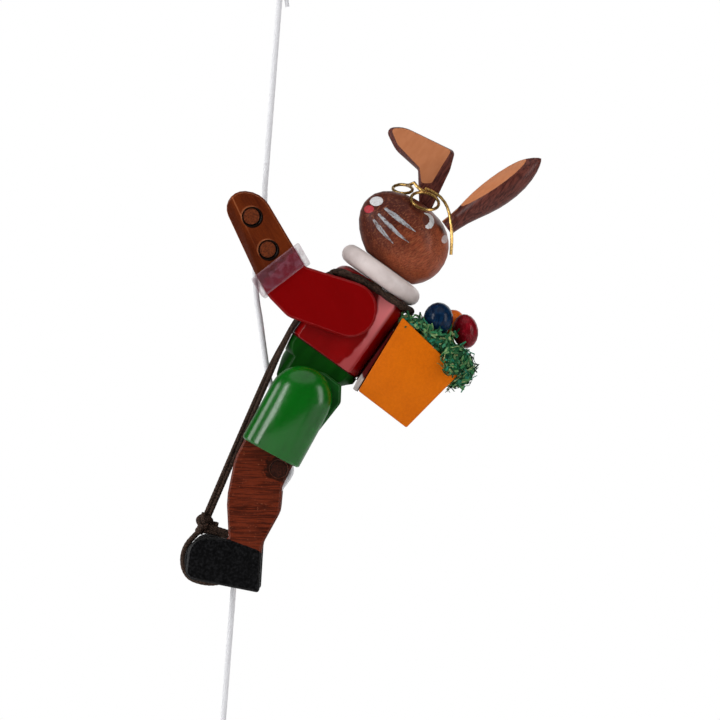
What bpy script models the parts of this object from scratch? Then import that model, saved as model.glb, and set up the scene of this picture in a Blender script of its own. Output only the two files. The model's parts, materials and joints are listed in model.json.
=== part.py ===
# Wooden rabbit that climbs a string: arms, torso and legs turn on dowels, and an elastic stretches it out again.
# Metres, +Z up, X to the right of the side view, Y away from the viewer, who sees the rabbit's left side.
# The string hangs along the Z axis, and the origin is where the hang loop rests on its hook.

import math

import bmesh
import bpy
from mathutils import Matrix, Vector

MM = 0.001

# Clearances
RUN_GAP = 0.3 * MM
GLUE_GAP = 0.25 * MM

# Stock sizes
DOWEL = 4.0 * MM
DOWEL_HOLE = 4.6 * MM
OPEN_HOLE = 4.8 * MM
BOARD = 4.5 * MM
STRING = 1.5 * MM
ELASTIC = 1.0 * MM
ELASTIC_PAIR = 2 * ELASTIC
WIRE = 0.8 * MM
EDGE = 0.45 * MM

# Depths, from the middle plane of the body outwards
BODY_HALF = 6.5 * MM
BOARD_IN = BODY_HALF + RUN_GAP
BOARD_OUT = BOARD_IN + BOARD
BOARD_MID = BOARD_IN + BOARD / 2
SHORTS_IN = BOARD_OUT + GLUE_GAP
SHORTS_DEPTH = 5.5 * MM
BAND_WALL = 0.9 * MM
BLIND_HOLE = 3.0 * MM
THIGH_TILT = math.radians(24.3)

# Joint axes in the side view (x, z)
SHOULDER = (23.8 * MM, -90.9 * MM)
HIP = (13.2 * MM, -113.8 * MM)

# Torso axis, from the middle of the collar down to the hem
COLLAR_MIDDLE = Vector((30.85 * MM, 0.0, -81.45 * MM))
TORSO_TILT = math.radians(31.1)
TORSO_RADIUS = 10.3 * MM
TORSO_CORNER = 3.6 * MM
COLLAR_RADIUS = 11.5 * MM
COLLAR_HALF = 2.4 * MM
JACKET_TOP = COLLAR_HALF + GLUE_GAP
HEM = 24.7 * MM

# Head and the ways its ears lean
HEAD_MIDDLE = Vector((35.8 * MM, -0.2 * MM, -71.7 * MM))
HEAD_LENGTH_UP = 13.5 * MM
HEAD_LENGTH_DOWN = 12.4 * MM
HEAD_RADIUS = 10.0 * MM
HEAD_WAIST = -2.2 * MM
NOSE_WAY = Vector((-0.70, -0.16, 0.70)).normalized()
EAR_LENGTH = 29.4 * MM
EAR_RADIUS = 4.05 * MM
EAR_PROFILE = [
    (0.985, 0.14),
    (0.95, 0.33),
    (0.90, 0.53),
    (0.83, 0.73),
    (0.74, 0.9),
    (0.64, 0.99),
    (0.55, 1.0),
    (0.46, 0.96),
    (0.36, 0.85),
    (0.26, 0.7),
    (0.17, 0.58),
    (0.08, 0.52),
    (0.0, 0.5),
]
EAR_WAY = Vector((0.759, -0.03, 0.651)).normalized()
EAR_ROOT = Vector((46.4 * MM, -4.4 * MM, -68.4 * MM))

# Spectacles from the middle of the head: each ring's middle, half width and half height, then the wires
NEAR_RING = (Vector((4.65, -4.15, 9.55)) * MM, Vector((3.55, 0.9, -0.6)) * MM, Vector((0.3, 2.8, 2.15)) * MM)
FAR_RING = (Vector((-1.1, 4.8, 12.5)) * MM, Vector((2.5, -1.3, -0.1)) * MM, Vector((0.1, 2.5, 1.2)) * MM)
BRIDGE = [
    Vector((2.5, -0.2, 13.0)) * MM,
    Vector((2.1, 0.6, 13.9)) * MM,
    Vector((1.3, 1.2, 14.2)) * MM,
    Vector((0.7, 1.8, 13.6)) * MM,
]
TEMPLE = [
    Vector((4.6, -2.1, 12.8)) * MM,
    Vector((6.4, -3.2, 12.1)) * MM,
    Vector((8.6, -5.0, 10.7)) * MM,
    Vector((10.5, -7.2, 8.0)) * MM,
    Vector((11.5, -8.7, 4.1)) * MM,
    Vector((12.0, -9.6, 0.4)) * MM,
    Vector((12.1, -9.4, -3.5)) * MM,
]

# Places on the string
KNOT_TOP_Z = -11.6 * MM
HAND_TOP_Z = -62.0 * MM
HAND_STRING_END = -86.0 * MM
SOLE_STRING_Z = -160.4 * MM
KNOT_END_Z = -201.5 * MM
KNOT_RADIUS = 1.75 * MM

# Dowel places
HAND_PIN_UP = (-2.5 * MM, -69.6 * MM)
HAND_PIN_LOW = (2.2 * MM, -77.5 * MM)
KNEE_PIN = (9.2 * MM, -131.9 * MM)
PIN_TO_STRING = DOWEL / 2 + STRING / 2 + RUN_GAP
FOOT_PIN = (PIN_TO_STRING, -158.9 * MM)

# Elastic round the chest as (down, degrees round from the front, clearance to the cord's middle) in millimetres
NEAR_CHEST = [(10.2, 26.2, 1.24), (7.8, 28.3, 1.29), (6.1, 33.5, 1.21)]
FAR_CHEST = [(6.1, 33.5, 1.21), (7.3, 24.8, 1.15), (8.6, 13.2, 1.15)]
NEAR_STRAND = [(10.9, -25.9, 1.15), (13.5, -27.5, 0.97), (17.2, -28.0, 0.97)]
FAR_STRAND = [(9.4, 8.1, 1.06), (11.0, -2.0, 1.11), (13.5, -13.2, 1.1), (17.2, -18.9, 1.12)]
BOTH_STRANDS = [(23.3, -23.6, 1.46), (28.0, -28.5, 1.23), (31.4, -32.1, 0.98)]

# Elastic beside the neck as (down, out, dip towards the flank) in millimetres, and below the chest as places
BESIDE_NECK = [(5.3, -8.3, 0.0), (4.2, -4.0, 0.0), (3.65, 0.0, 0.0), (3.55, 4.0, 0.0), (3.4, 7.9, 0.45)]
BEHIND_NECK_DOWN = 3.05
CHEST_TO_INSTEP = [Vector((4.5, -5.0, -109.0)) * MM, Vector((-1.2, -2.4, -125.4)) * MM]
KNOT_MIDDLE = Vector((-8.6, 0.0, -146.9)) * MM
KNOT_HALF = Vector((1.5, 2.0, 1.9)) * MM
STRAND_STEP = ELASTIC + 0.2 * MM
TOE_LOOP = [
    Vector((-9.3, 0.0, -149.3)) * MM,
    Vector((-11.3, 0.0, -151.1)) * MM,
    Vector((-12.85, 0.0, -153.4)) * MM,
    Vector((-13.5, 0.0, -156.2)) * MM,
    Vector((-13.0, 0.0, -159.0)) * MM,
    Vector((-11.3, 0.0, -161.2)) * MM,
    Vector((-8.3, 0.0, -162.05)) * MM,
    Vector((-5.0, 0.0, -162.05)) * MM,
    Vector((-3.6, 0.0, -161.0)) * MM,
    Vector((-3.5, 0.0, -156.0)) * MM,
    Vector((-3.5, 0.0, -151.6)) * MM,
    Vector((-3.8, 0.0, -149.9)) * MM,
    Vector((-6.3, 0.0, -149.3)) * MM,
]

# Outlines as corners (x, z, corner radius) in millimetres, from the joint that the board turns on
ARM_CORNERS = [
    (-35.7, 27.4, 4.35),
    (-24.3, 27.6, 7.2),
    (-11.9, 9.9, 1.2),
    (6.75, 5.6, 6.7),
    (6.75, -9.0, 6.7),
    (-15.4, -2.9, 4.0),
    (-20.6, 1.7, 6.0),
    (-24.2, 7.0, 8.0),
]
HAND_FACET = ((-31.3 * MM, 25.4 * MM), (-26.0 * MM, 12.6 * MM))
HAND_FACET_FALL = 0.22
LEG_CORNERS = [
    (9.9, 3.9, 0.8),
    (10.1, -0.6, 1.5),
    (5.4, -7.6, 3.0),
    (-0.6, -17.0, 2.0),
    (-2.8, -22.5, 3.0),
    (-2.9, -29.2, 5.0),
    (-6.7, -37.5, 4.0),
    (-6.5, -49.3, 0.7),
    (-25.3, -47.1, 2.2),
    (-24.9, -36.3, 4.5),
    (-15.1, -36.5, 0.6),
    (-16.4, -26.5, 12.0),
    (-15.2, -16.4, 8.0),
    (-7.3, 2.6, 4.0),
    (-2.5, 7.3, 4.0),
    (5.5, 6.8, 3.0),
]
HIP_CORNERS = [
    (-2.4, 18.5, 0.0),
    (16.5, 5.7, 0.0),
    (13.6, 4.6, 0.8),
    (11.0, 4.0, 1.0),
    (5.8, 2.4, 2.0),
    (4.9, -5.4, 4.4),
    (-5.0, -5.4, 4.4),
    (-5.5, 0.4, 2.0),
    (-6.5, 5.6, 0.8),
    (-5.4, 10.6, 14.0),
]
TOE_CORNERS = [
    (-25.9, -47.4, 4.5),
    (-25.8, -37.0, 5.0),
    (-17.6, -37.0, 1.0),
    (-17.6, -47.4, 1.0),
]
BAND_CORNERS = [
    (-25.2, 5.7, 0.5),
    (-14.1, 15.8, 0.5),
    (-10.9, 11.2, 0.5),
    (-21.9, 1.2, 0.5),
]
BENT_EAR_CORNERS = [
    (-12.4, 12.4, 1.4),
    (-7.8, 13.2, 7.5),
    (5.8, 7.9, 1.3),
    (4.9, 3.1, 8.0),
    (0.8, -7.6, 0.9),
    (-2.2, -6.7, 0.9),
    (-3.2, 2.5, 1.0),
    (-9.2, 7.1, 7.0),
]
BENT_EAR_FACE_CORNERS = [
    (-10.9, 12.3, 0.8),
    (-7.5, 12.9, 7.0),
    (4.9, 8.0, 0.8),
    (2.8, 4.1, 3.0),
    (0.5, -0.6, 0.8),
    (-2.1, -0.9, 0.9),
    (-2.9, 3.0, 0.8),
    (-8.9, 8.4, 4.0),
]
BENT_EAR_MIDDLE = Vector((41.4, 4.9, -56.6)) * MM
BENT_EAR_DEPTH = 3.8 * MM

# Basket block: side view corners as distances down the torso's axis and out from it, and half depths
BASKET_RIM_PLACES = ((5.6 * MM, TORSO_RADIUS + 0.4 * MM), (8.6 * MM, TORSO_RADIUS + 20.15 * MM))
BASKET_FOOT_PLACES = ((27.0 * MM, TORSO_RADIUS + 2.05 * MM), (27.5 * MM, TORSO_RADIUS + 17.2 * MM))
BASKET_RIM_HALF = 10.0 * MM
BASKET_FOOT_HALF = 7.3 * MM


def torso_point(down, out, across=0.0):
    """A point of the torso: distance down its axis from the collar's middle, distance out to the back, and Y."""
    sine = math.sin(TORSO_TILT)
    cosine = math.cos(TORSO_TILT)
    return COLLAR_MIDDLE + Vector(
        (out * cosine - down * sine, across, -out * sine - down * cosine)
    )


def side_corners(places):
    points = [torso_point(down, out) for down, out in places]
    return [(point.x, point.z) for point in points]


BASKET_RIM = side_corners(BASKET_RIM_PLACES)
BASKET_FOOT = side_corners(BASKET_FOOT_PLACES)

# Eggs: middle, radius across and half length
EGGS = {
    "egg_blue": (Vector((46.1, -4.0, -91.3)) * MM, 3.75 * MM, 4.1 * MM, (0.1, 0.2, 1.0)),
    "egg_red": (Vector((53.2, 0.4, -93.9)) * MM, 3.3 * MM, 4.35 * MM, (-0.2, -0.1, 1.0)),
    "egg_orange": (Vector((49.4, 5.8, -92.6)) * MM, 3.3 * MM, 4.2 * MM, (0.6, 0.1, 1.0)),
}
EGG_COLOURS = {
    "egg_blue": (0.02, 0.05, 0.11),
    "egg_red": (0.25, 0.01, 0.02),
    "egg_orange": (0.62, 0.16, 0.01),
}

RED = ("red_gloss", (0.32, 0.003, 0.004), 0.18, 0.0)
GREEN = ("green_gloss", (0.01, 0.15, 0.015), 0.2, 0.0)
BROWN = ("brown_gloss", (0.12, 0.028, 0.01), 0.25, 0.0)
CALF_BROWN = ("calf_brown", (0.2, 0.045, 0.02), 0.4, 0.0)
BARE_WOOD = ("bare_wood", (0.45, 0.25, 0.11), 0.6, 0.0)
WHITE = ("white_gloss", (0.75, 0.7, 0.7), 0.2, 0.0)
BLACK = ("black_satin", (0.012, 0.012, 0.014), 0.35, 0.0)
ORANGE = ("orange_stain", (0.62, 0.2, 0.01), 0.4, 0.0)
BRASS = ("brass_wire", (0.75, 0.55, 0.18), 0.2, 1.0)
CORD_WHITE = ("string_white", (0.8, 0.8, 0.78), 0.7, 0.0)
CORD_BROWN = ("elastic_brown", (0.06, 0.03, 0.018), 0.7, 0.0)
FROSTED = ("frosted_plastic", (0.8, 0.55, 0.6), 0.4, 0.0)
GRASS = ("grass_green", (0.08, 0.3, 0.12), 0.8, 0.0)
PALE = ("pale_spacer", (0.6, 0.58, 0.57), 0.6, 0.0)


def clear_scene():
    for old in list(bpy.data.objects):
        bpy.data.objects.remove(old, do_unlink=True)


def make_collection(name):
    made = bpy.data.collections.new(name)
    bpy.context.scene.collection.children.link(made)
    return made


def place_in(obj, collection):
    collection.objects.link(obj)
    return obj


def paint(obj, look):
    name, colour, roughness, metallic = look
    material = bpy.data.materials.get(name)
    if material is None:
        material = bpy.data.materials.new(name)
        material.use_nodes = True
        shader = material.node_tree.nodes["Principled BSDF"]
        shader.inputs["Base Color"].default_value = (*colour, 1.0)
        shader.inputs["Roughness"].default_value = roughness
        shader.inputs["Metallic"].default_value = metallic
    obj.data.materials.clear()
    obj.data.materials.append(material)
    return obj


def rounded_outline(corners, scale=MM, corner_steps=None):
    """The closed outline of a polygon whose corners (x, z, radius) are rounded."""
    points = []
    count = len(corners)
    for i in range(count):
        before = Vector(corners[i - 1][:2])
        here = Vector(corners[i][:2])
        after = Vector(corners[(i + 1) % count][:2])
        radius = corners[i][2]
        back = (before - here).normalized()
        ahead = (after - here).normalized()
        half = back.angle(ahead) / 2
        if radius <= 0:
            points.append(here * scale)
            continue
        reach = radius / math.tan(half)
        middle = here + (back + ahead).normalized() * (radius / math.sin(half))
        start = here + back * reach - middle
        turn = math.pi - 2 * half
        side = 1 if start.cross(here + ahead * reach - middle) > 0 else -1
        steps = corner_steps or max(1, math.ceil(turn / math.radians(18)))
        for k in range(steps + 1):
            arm = start.copy()
            arm.rotate(Matrix.Rotation(side * turn * k / steps, 2))
            points.append((middle + arm) * scale)
    return points


def grown(corners, amount):
    """The same corners (in millimetres) with every side moved outwards by an amount in metres."""
    step = amount / MM
    count = len(corners)
    area = sum(
        corners[i - 1][0] * corners[i][1] - corners[i][0] * corners[i - 1][1] for i in range(count)
    )
    side = 1 if area > 0 else -1
    result = []
    for i in range(count):
        here = Vector(corners[i][:2])
        back = (here - Vector(corners[i - 1][:2])).normalized()
        ahead = (Vector(corners[(i + 1) % count][:2]) - here).normalized()
        out_back = Vector((back.y, -back.x)) * side
        out_ahead = Vector((ahead.y, -ahead.x)) * side
        moved = here + (out_back + out_ahead) * (step / (1 + out_back.dot(out_ahead)))
        convex = back.cross(ahead) * side > 0
        radius = max(0.0, corners[i][2] + (step if convex else -step))
        result.append((moved.x, moved.y, radius))
    return result


def curve_to_mesh(curve_object, merge=0.00001):
    """A mesh object in place of a curve, with its caps welded and flat faces kept whole."""
    bpy.context.scene.collection.objects.link(curve_object)
    bpy.context.view_layer.update()
    graph = bpy.context.evaluated_depsgraph_get()
    mesh = bpy.data.meshes.new_from_object(curve_object.evaluated_get(graph))
    work = bmesh.new()
    work.from_mesh(mesh)
    bmesh.ops.remove_doubles(work, verts=work.verts, dist=merge)
    bmesh.ops.dissolve_limit(
        work, angle_limit=math.radians(1), verts=work.verts, edges=work.edges
    )
    bmesh.ops.recalc_face_normals(work, faces=work.faces)
    work.to_mesh(mesh)
    work.free()
    name = curve_object.name
    matrix = curve_object.matrix_world.copy()
    bpy.data.objects.remove(curve_object, do_unlink=True)
    made = bpy.data.objects.new(name, mesh)
    made.matrix_world = matrix
    return made


def board(name, corners, location, thickness, tilt=0.0, edge=EDGE):
    """A sawn board whose outline lies in the side view, turned about Y by its tilt, with sanded edges."""
    curve = bpy.data.curves.new(name, "CURVE")
    curve.dimensions = "2D"
    curve.fill_mode = "BOTH"
    curve.extrude = thickness / 2
    spline = curve.splines.new("POLY")
    points = rounded_outline(corners)
    spline.points.add(len(points) - 1)
    for slot, point in zip(spline.points, points):
        slot.co = (point.x, point.y, 0.0, 1.0)
    spline.use_cyclic_u = True
    flat = bpy.data.objects.new(name, curve)
    flat.location = location
    flat.rotation_euler = (math.pi / 2, tilt, 0.0)
    made = curve_to_mesh(flat)
    if edge > 0:
        bevel = made.modifiers.new("sanded_edge", "BEVEL")
        bevel.width = edge
        bevel.segments = 1
        bevel.limit_method = "ANGLE"
        bevel.angle_limit = math.radians(50)
    return made


def lofted(name, layers, location):
    """A solid through outlines of equal length: each layer is (outline, Y), from the near side to the far one."""
    mesh = bpy.data.meshes.new(name)
    verts = []
    faces = []
    count = len(layers[0][0])
    for outline, across in layers:
        verts += [(point.x, across, point.y) for point in outline]
    for layer in range(len(layers) - 1):
        first = layer * count
        for k in range(count):
            after = (k + 1) % count
            faces.append((first + k, first + after, first + count + after, first + count + k))
    faces.append(tuple(range(count - 1, -1, -1)))
    last = (len(layers) - 1) * count
    faces.append(tuple(range(last, last + count)))
    mesh.from_pydata(verts, [], faces)
    work = bmesh.new()
    work.from_mesh(mesh)
    bmesh.ops.recalc_face_normals(work, faces=work.faces)
    work.to_mesh(mesh)
    work.free()
    made = bpy.data.objects.new(name, mesh)
    made.location = location
    return made


def turned(name, profile, location, way, steps=48):
    """A turned solid: the profile of (radius, height) runs top to bottom, and its axis points the given way."""
    mesh = bpy.data.meshes.new(name)
    mesh.from_pydata(
        [(radius, 0.0, height) for radius, height in profile],
        [(i, i + 1) for i in range(len(profile) - 1)],
        [],
    )
    made = bpy.data.objects.new(name, mesh)
    made.location = location
    made.rotation_mode = "QUATERNION"
    made.rotation_quaternion = Vector(way).to_track_quat("Z", "Y")
    screw = made.modifiers.new("turning", "SCREW")
    screw.axis = "Z"
    screw.steps = steps
    screw.render_steps = steps
    screw.use_merge_vertices = True
    screw.merge_threshold = 0.00001
    screw.use_smooth_shade = True
    return made


def tube(name, points, diameter, closed=False, spacing=None):
    """A cord or wire along a smooth curve through the given points."""
    curve = bpy.data.curves.new(name, "CURVE")
    curve.dimensions = "3D"
    curve.bevel_depth = diameter / 2
    curve.bevel_resolution = 2
    curve.use_fill_caps = not closed
    path = smooth_path(points, spacing or diameter * 2.2, closed)
    spline = curve.splines.new("POLY")
    spline.points.add(len(path) - 1)
    for slot, point in zip(spline.points, path):
        slot.co = (*point, 1.0)
    spline.use_cyclic_u = closed
    return bpy.data.objects.new(name, curve)


def smooth_path(points, spacing, closed=False):
    """Points at a steady spacing on the smooth curve that passes through the given ones."""
    route = [Vector(p) for p in points]
    count = len(route)
    fine = []
    for i in range(count if closed else count - 1):
        a = route[i]
        b = route[(i + 1) % count]
        before = route[i - 1] if (i or closed) else a * 2 - b
        after = route[(i + 2) % count] if (closed or i + 2 < count) else b * 2 - a
        for k in range(16):
            fine.append(catmull_rom(before, a, b, after, k / 16))
    fine.append(route[0] if closed else route[-1])
    return even_points(fine, spacing, closed)


def catmull_rom(before, a, b, after, t):
    return 0.5 * (
        2 * a
        + (b - before) * t
        + (2 * before - 5 * a + 4 * b - after) * t**2
        + (3 * a - before - 3 * b + after) * t**3
    )


def even_points(fine, spacing, closed):
    length = sum((b - a).length for a, b in zip(fine, fine[1:]))
    pieces = max(2, round(length / spacing))
    wanted = [length * i / pieces for i in range(pieces + (0 if closed else 1))]
    result = []
    walked = 0.0
    index = 0
    for goal in wanted:
        while index < len(fine) - 2 and walked + (fine[index + 1] - fine[index]).length < goal:
            walked += (fine[index + 1] - fine[index]).length
            index += 1
        step = fine[index + 1] - fine[index]
        share = min(1.0, (goal - walked) / max(step.length, 1e-9))
        result.append(fine[index] + step * share)
    return result


def cylinder_y(name, diameter, y_from, y_to, place, segments=24):
    """A dowel or a drill along Y at (x, z)."""
    made = primitive_cylinder(name, diameter, y_to - y_from, segments)
    made.location = (place[0], (y_from + y_to) / 2, place[1])
    made.rotation_euler = (math.pi / 2, 0.0, 0.0)
    return made


def primitive_cylinder(name, diameter, length, segments=24):
    mesh = bpy.data.meshes.new(name)
    work = bmesh.new()
    bmesh.ops.create_cone(
        work,
        cap_ends=True,
        segments=segments,
        radius1=diameter / 2,
        radius2=diameter / 2,
        depth=length,
    )
    work.to_mesh(mesh)
    work.free()
    mesh.shade_smooth()
    mesh.set_sharp_from_angle(angle=math.radians(40))
    return bpy.data.objects.new(name, mesh)


def box(name, size, location, rotation=(0.0, 0.0, 0.0)):
    mesh = bpy.data.meshes.new(name)
    work = bmesh.new()
    bmesh.ops.create_cube(work, size=1.0)
    bmesh.ops.scale(work, vec=size, verts=work.verts)
    work.to_mesh(mesh)
    work.free()
    made = bpy.data.objects.new(name, mesh)
    made.location = location
    made.rotation_euler = rotation
    return made


def ball(name, middle, radii, way=(0.0, 0.0, 1.0), segments=18, rings=10):
    mesh = bpy.data.meshes.new(name)
    work = bmesh.new()
    bmesh.ops.create_uvsphere(work, u_segments=segments, v_segments=rings, radius=1.0)
    bmesh.ops.scale(work, vec=radii, verts=work.verts)
    work.to_mesh(mesh)
    work.free()
    mesh.shade_smooth()
    made = bpy.data.objects.new(name, mesh)
    made.location = middle
    made.rotation_mode = "QUATERNION"
    made.rotation_quaternion = Vector(way).to_track_quat("Z", "Y")
    return made


def combine(target, cutter, cutters, operation="DIFFERENCE"):
    """Cuts, joins or trims the target with a cutter, which goes into the cutters' collection."""
    if cutter.name not in cutters.objects:
        place_in(cutter, cutters)
        cutter.hide_render = True
        cutter.display_type = "WIRE"
    change = target.modifiers.new(operation.lower(), "BOOLEAN")
    change.operation = operation
    change.solver = "EXACT"
    change.object = cutter
    return target


TORSO_WAY = Vector((math.sin(TORSO_TILT), 0.0, math.cos(TORSO_TILT)))


def arc_profile(middle, radius, start, end, steps):
    """Points of (radius, height) on an arc, angles in degrees from +X towards +Z."""
    result = []
    for i in range(steps + 1):
        angle = math.radians(start + (end - start) * i / steps)
        result.append(
            (middle[0] + radius * math.cos(angle), middle[1] + radius * math.sin(angle))
        )
    return result


def jacket(parts, cutters):
    """Turned jacket with its front and back left round and its two sides sawn flat."""
    top = -JACKET_TOP
    profile = [(0.0, top)]
    profile += arc_profile(
        (TORSO_RADIUS - TORSO_CORNER, top - TORSO_CORNER), TORSO_CORNER, 90, 0, 6
    )
    profile += [(TORSO_RADIUS, -HEM + 0.4 * MM), (TORSO_RADIUS - 0.4 * MM, -HEM), (0.0, -HEM)]
    made = turned("jacket", profile, COLLAR_MIDDLE, TORSO_WAY, 40)
    slab_size = (3 * TORSO_RADIUS, 2 * BODY_HALF, 3 * HEM)
    slab = box("jacket_flats", slab_size, torso_point(HEM / 2, 0.0), (0.0, TORSO_TILT, 0.0))
    combine(made, slab, cutters, "INTERSECT")
    axle_hole = cylinder_y("shoulder_hole", DOWEL_HOLE, -12 * MM, 12 * MM, SHOULDER)
    combine(made, axle_hole, cutters)
    neck_hole = primitive_cylinder("neck_hole_below", DOWEL + 2 * GLUE_GAP, 9.0 * MM)
    neck_hole.location = torso_point(NECK_DOWN + GLUE_GAP - 4.5 * MM, 0.0)
    neck_hole.rotation_euler = (0.0, TORSO_TILT, 0.0)
    combine(made, neck_hole, cutters)
    place_in(paint(made, RED), parts)


NECK_DOWN = 6.4 * MM
NECK_UP = 6.6 * MM


def hip_block(parts, cutters):
    """Lower end of the torso, round like the jacket in front and behind, with the tongue that the legs turn on."""
    made = board(
        "hip_block", HIP_CORNERS, (HIP[0], 0.0, HIP[1]), 2 * BODY_HALF, edge=0.0
    )
    top = -HEM - GLUE_GAP
    foot = top - 1.2 * MM - TORSO_CORNER
    profile = [(0.0, top), (TORSO_RADIUS, top)]
    profile += arc_profile((TORSO_RADIUS - TORSO_CORNER, foot + TORSO_CORNER), TORSO_CORNER, 0, -60, 4)
    profile += [(TORSO_RADIUS * 0.78, foot - 2 * TORSO_CORNER), (0.0, foot - 2 * TORSO_CORNER)]
    stock = turned("hip_stock", profile, COLLAR_MIDDLE, TORSO_WAY, 40)
    combine(made, stock, cutters, "INTERSECT")
    combine(made, cylinder_y("hip_hole", DOWEL_HOLE, -12 * MM, 12 * MM, HIP), cutters)
    place_in(paint(made, GREEN), parts)


def collar(parts, cutters):
    rim = COLLAR_HALF
    profile = [(0.0, rim)]
    profile += arc_profile((COLLAR_RADIUS - rim, 0.0), rim, 90, -90, 8)
    profile += [(0.0, -rim)]
    made = turned("collar", profile, COLLAR_MIDDLE, TORSO_WAY, 40)
    hole = primitive_cylinder("collar_hole", DOWEL + 2 * GLUE_GAP, 12 * MM)
    hole.location = COLLAR_MIDDLE
    hole.rotation_euler = (0.0, TORSO_TILT, 0.0)
    combine(made, hole, cutters)
    place_in(paint(made, WHITE), parts)


def neck_dowel(parts):
    made = primitive_cylinder("neck_dowel", DOWEL, NECK_DOWN + NECK_UP)
    made.location = torso_point((NECK_DOWN - NECK_UP) / 2, 0.0)
    made.rotation_euler = (0.0, TORSO_TILT, 0.0)
    place_in(paint(made, BARE_WOOD), parts)


def egg_profile(up, down, radius, waist, steps):
    """Half outline of an egg that is widest at its waist, from its top to its bottom."""
    result = []
    for i in range(steps + 1):
        angle = math.pi * i / steps
        along = math.cos(angle)
        height = waist + (up - waist if along > 0 else down + waist) * along
        wide = radius * math.sin(angle)
        result.append((0.0 if i in (0, steps) else wide, height))
    return result


def head_shape(name, extra):
    profile = egg_profile(
        HEAD_LENGTH_UP + extra,
        HEAD_LENGTH_DOWN + extra,
        HEAD_RADIUS + extra,
        HEAD_WAIST,
        16,
    )
    return turned(name, profile, HEAD_MIDDLE, NOSE_WAY, 36)


def head(parts, cutters):
    """Turned egg, sawn flat where it sits on the collar."""
    made = head_shape("head", 0.0)
    seat = box(
        "head_seat",
        (40 * MM, 40 * MM, 20 * MM),
        torso_point(10 * MM - COLLAR_HALF - GLUE_GAP, 0.0),
        (0.0, TORSO_TILT, 0.0),
    )
    combine(made, seat, cutters)
    hole = primitive_cylinder("neck_hole_above", DOWEL + 2 * GLUE_GAP, 9 * MM)
    hole.location = torso_point(-NECK_UP - GLUE_GAP + 4.5 * MM, 0.0)
    hole.rotation_euler = (0.0, TORSO_TILT, 0.0)
    combine(made, hole, cutters)
    place_in(paint(made, BROWN), parts)


def ear_left(parts, cutters, head_room):
    """Straight ear: a turned leaf with one face sawn flat, standing on the side of the head."""
    profile = [(0.0, EAR_LENGTH)]
    for along, radius in EAR_PROFILE:
        profile.append((radius * EAR_RADIUS, along * EAR_LENGTH))
    profile.append((0.0, 0.0))
    made = turned("ear_left", profile, EAR_ROOT, EAR_WAY, 24)
    up = Vector((-EAR_WAY.z, 0.0, EAR_WAY.x))
    face = (up * math.cos(math.radians(27)) + Vector((0, -1, 0)) * math.sin(math.radians(27))).normalized()
    flat = box("ear_flat", (60 * MM, 60 * MM, 20 * MM), EAR_ROOT + EAR_WAY * 17 * MM + face * 12.4 * MM)
    flat.rotation_mode = "QUATERNION"
    flat.rotation_quaternion = face.to_track_quat("Z", "Y")
    combine(made, flat, cutters)
    combine(made, head_room, cutters)
    place_in(paint(made, BROWN), parts)


def ear_right(parts, cutters, head_room):
    """Bent ear on the far side, its tip folded forwards."""
    near = -BENT_EAR_DEPTH / 2
    rim = rounded_outline(BENT_EAR_CORNERS, corner_steps=4)
    face = rounded_outline(BENT_EAR_FACE_CORNERS, corner_steps=4)
    back = rounded_outline(grown(BENT_EAR_CORNERS, -0.4 * MM), corner_steps=4)
    layers = [(face, near), (rim, near + 1.3 * MM), (rim, -near - 0.5 * MM), (back, -near)]
    made = lofted("ear_right", layers, BENT_EAR_MIDDLE)
    combine(made, head_room, cutters)
    place_in(paint(made, BROWN), parts)


def ring_points(middle, across, upwards, start, turns, count):
    """Points round an oval ring, from the start angle in degrees."""
    result = []
    for i in range(count + 1):
        angle = math.radians(start + 360 * turns * i / count)
        result.append(middle + across * math.cos(angle) + upwards * math.sin(angle))
    return result


def spectacles(parts):
    """Two bent wires pushed up on the forehead: the rings with their bridge, and the near temple."""
    near = ring_points(HEAD_MIDDLE + NEAR_RING[0], NEAR_RING[1], NEAR_RING[2], 60, -0.93, 18)
    far = ring_points(HEAD_MIDDLE + FAR_RING[0], FAR_RING[1], FAR_RING[2], 75, -0.9, 16)
    bridge = [HEAD_MIDDLE + point for point in BRIDGE]
    place_in(paint(tube("spectacles", near + bridge + far, WIRE, spacing=1.5 * WIRE), BRASS), parts)
    temple = [HEAD_MIDDLE + point for point in TEMPLE]
    place_in(paint(tube("spectacles_temple", temple, WIRE), BRASS), parts)


def arm(parts, cutters, name, side):
    """One sawn board for sleeve and hand, with two open holes for the hand pins and a blind one for the axle."""
    made = board(name, ARM_CORNERS, (SHOULDER[0], side * BOARD_MID, SHOULDER[1]), BOARD)
    start = Vector((SHOULDER[0] + HAND_FACET[0][0], side * BOARD_OUT, SHOULDER[1] + HAND_FACET[0][1]))
    end = Vector((SHOULDER[0] + HAND_FACET[1][0], side * BOARD_OUT, SHOULDER[1] + HAND_FACET[1][1]))
    along = (end - start).normalized()
    sunk = Vector((along.z, -side * HAND_FACET_FALL, -along.x))
    outward = along.cross(sunk).normalized()
    if outward.y * side < 0:
        outward = -outward
    slab = box(name + "_facet", (30 * MM, 30 * MM, 6 * MM), (start + end) / 2 + outward * 3 * MM)
    slab.rotation_mode = "QUATERNION"
    slab.rotation_quaternion = outward.to_track_quat("Z", "Y")
    combine(made, slab, cutters)
    for label, place in (("up", HAND_PIN_UP), ("low", HAND_PIN_LOW)):
        hole = cylinder_y(
            name + "_hole_" + label, OPEN_HOLE, -20 * MM, 20 * MM, place
        )
        combine(made, hole, cutters)
    inner = side * (BOARD_IN - 1 * MM)
    outer = side * (BOARD_IN + BLIND_HOLE)
    axle = cylinder_y(
        name + "_axle_hole", DOWEL + 2 * GLUE_GAP, min(inner, outer), max(inner, outer), SHOULDER
    )
    combine(made, axle, cutters)
    place_in(paint(made, RED), parts)


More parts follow.
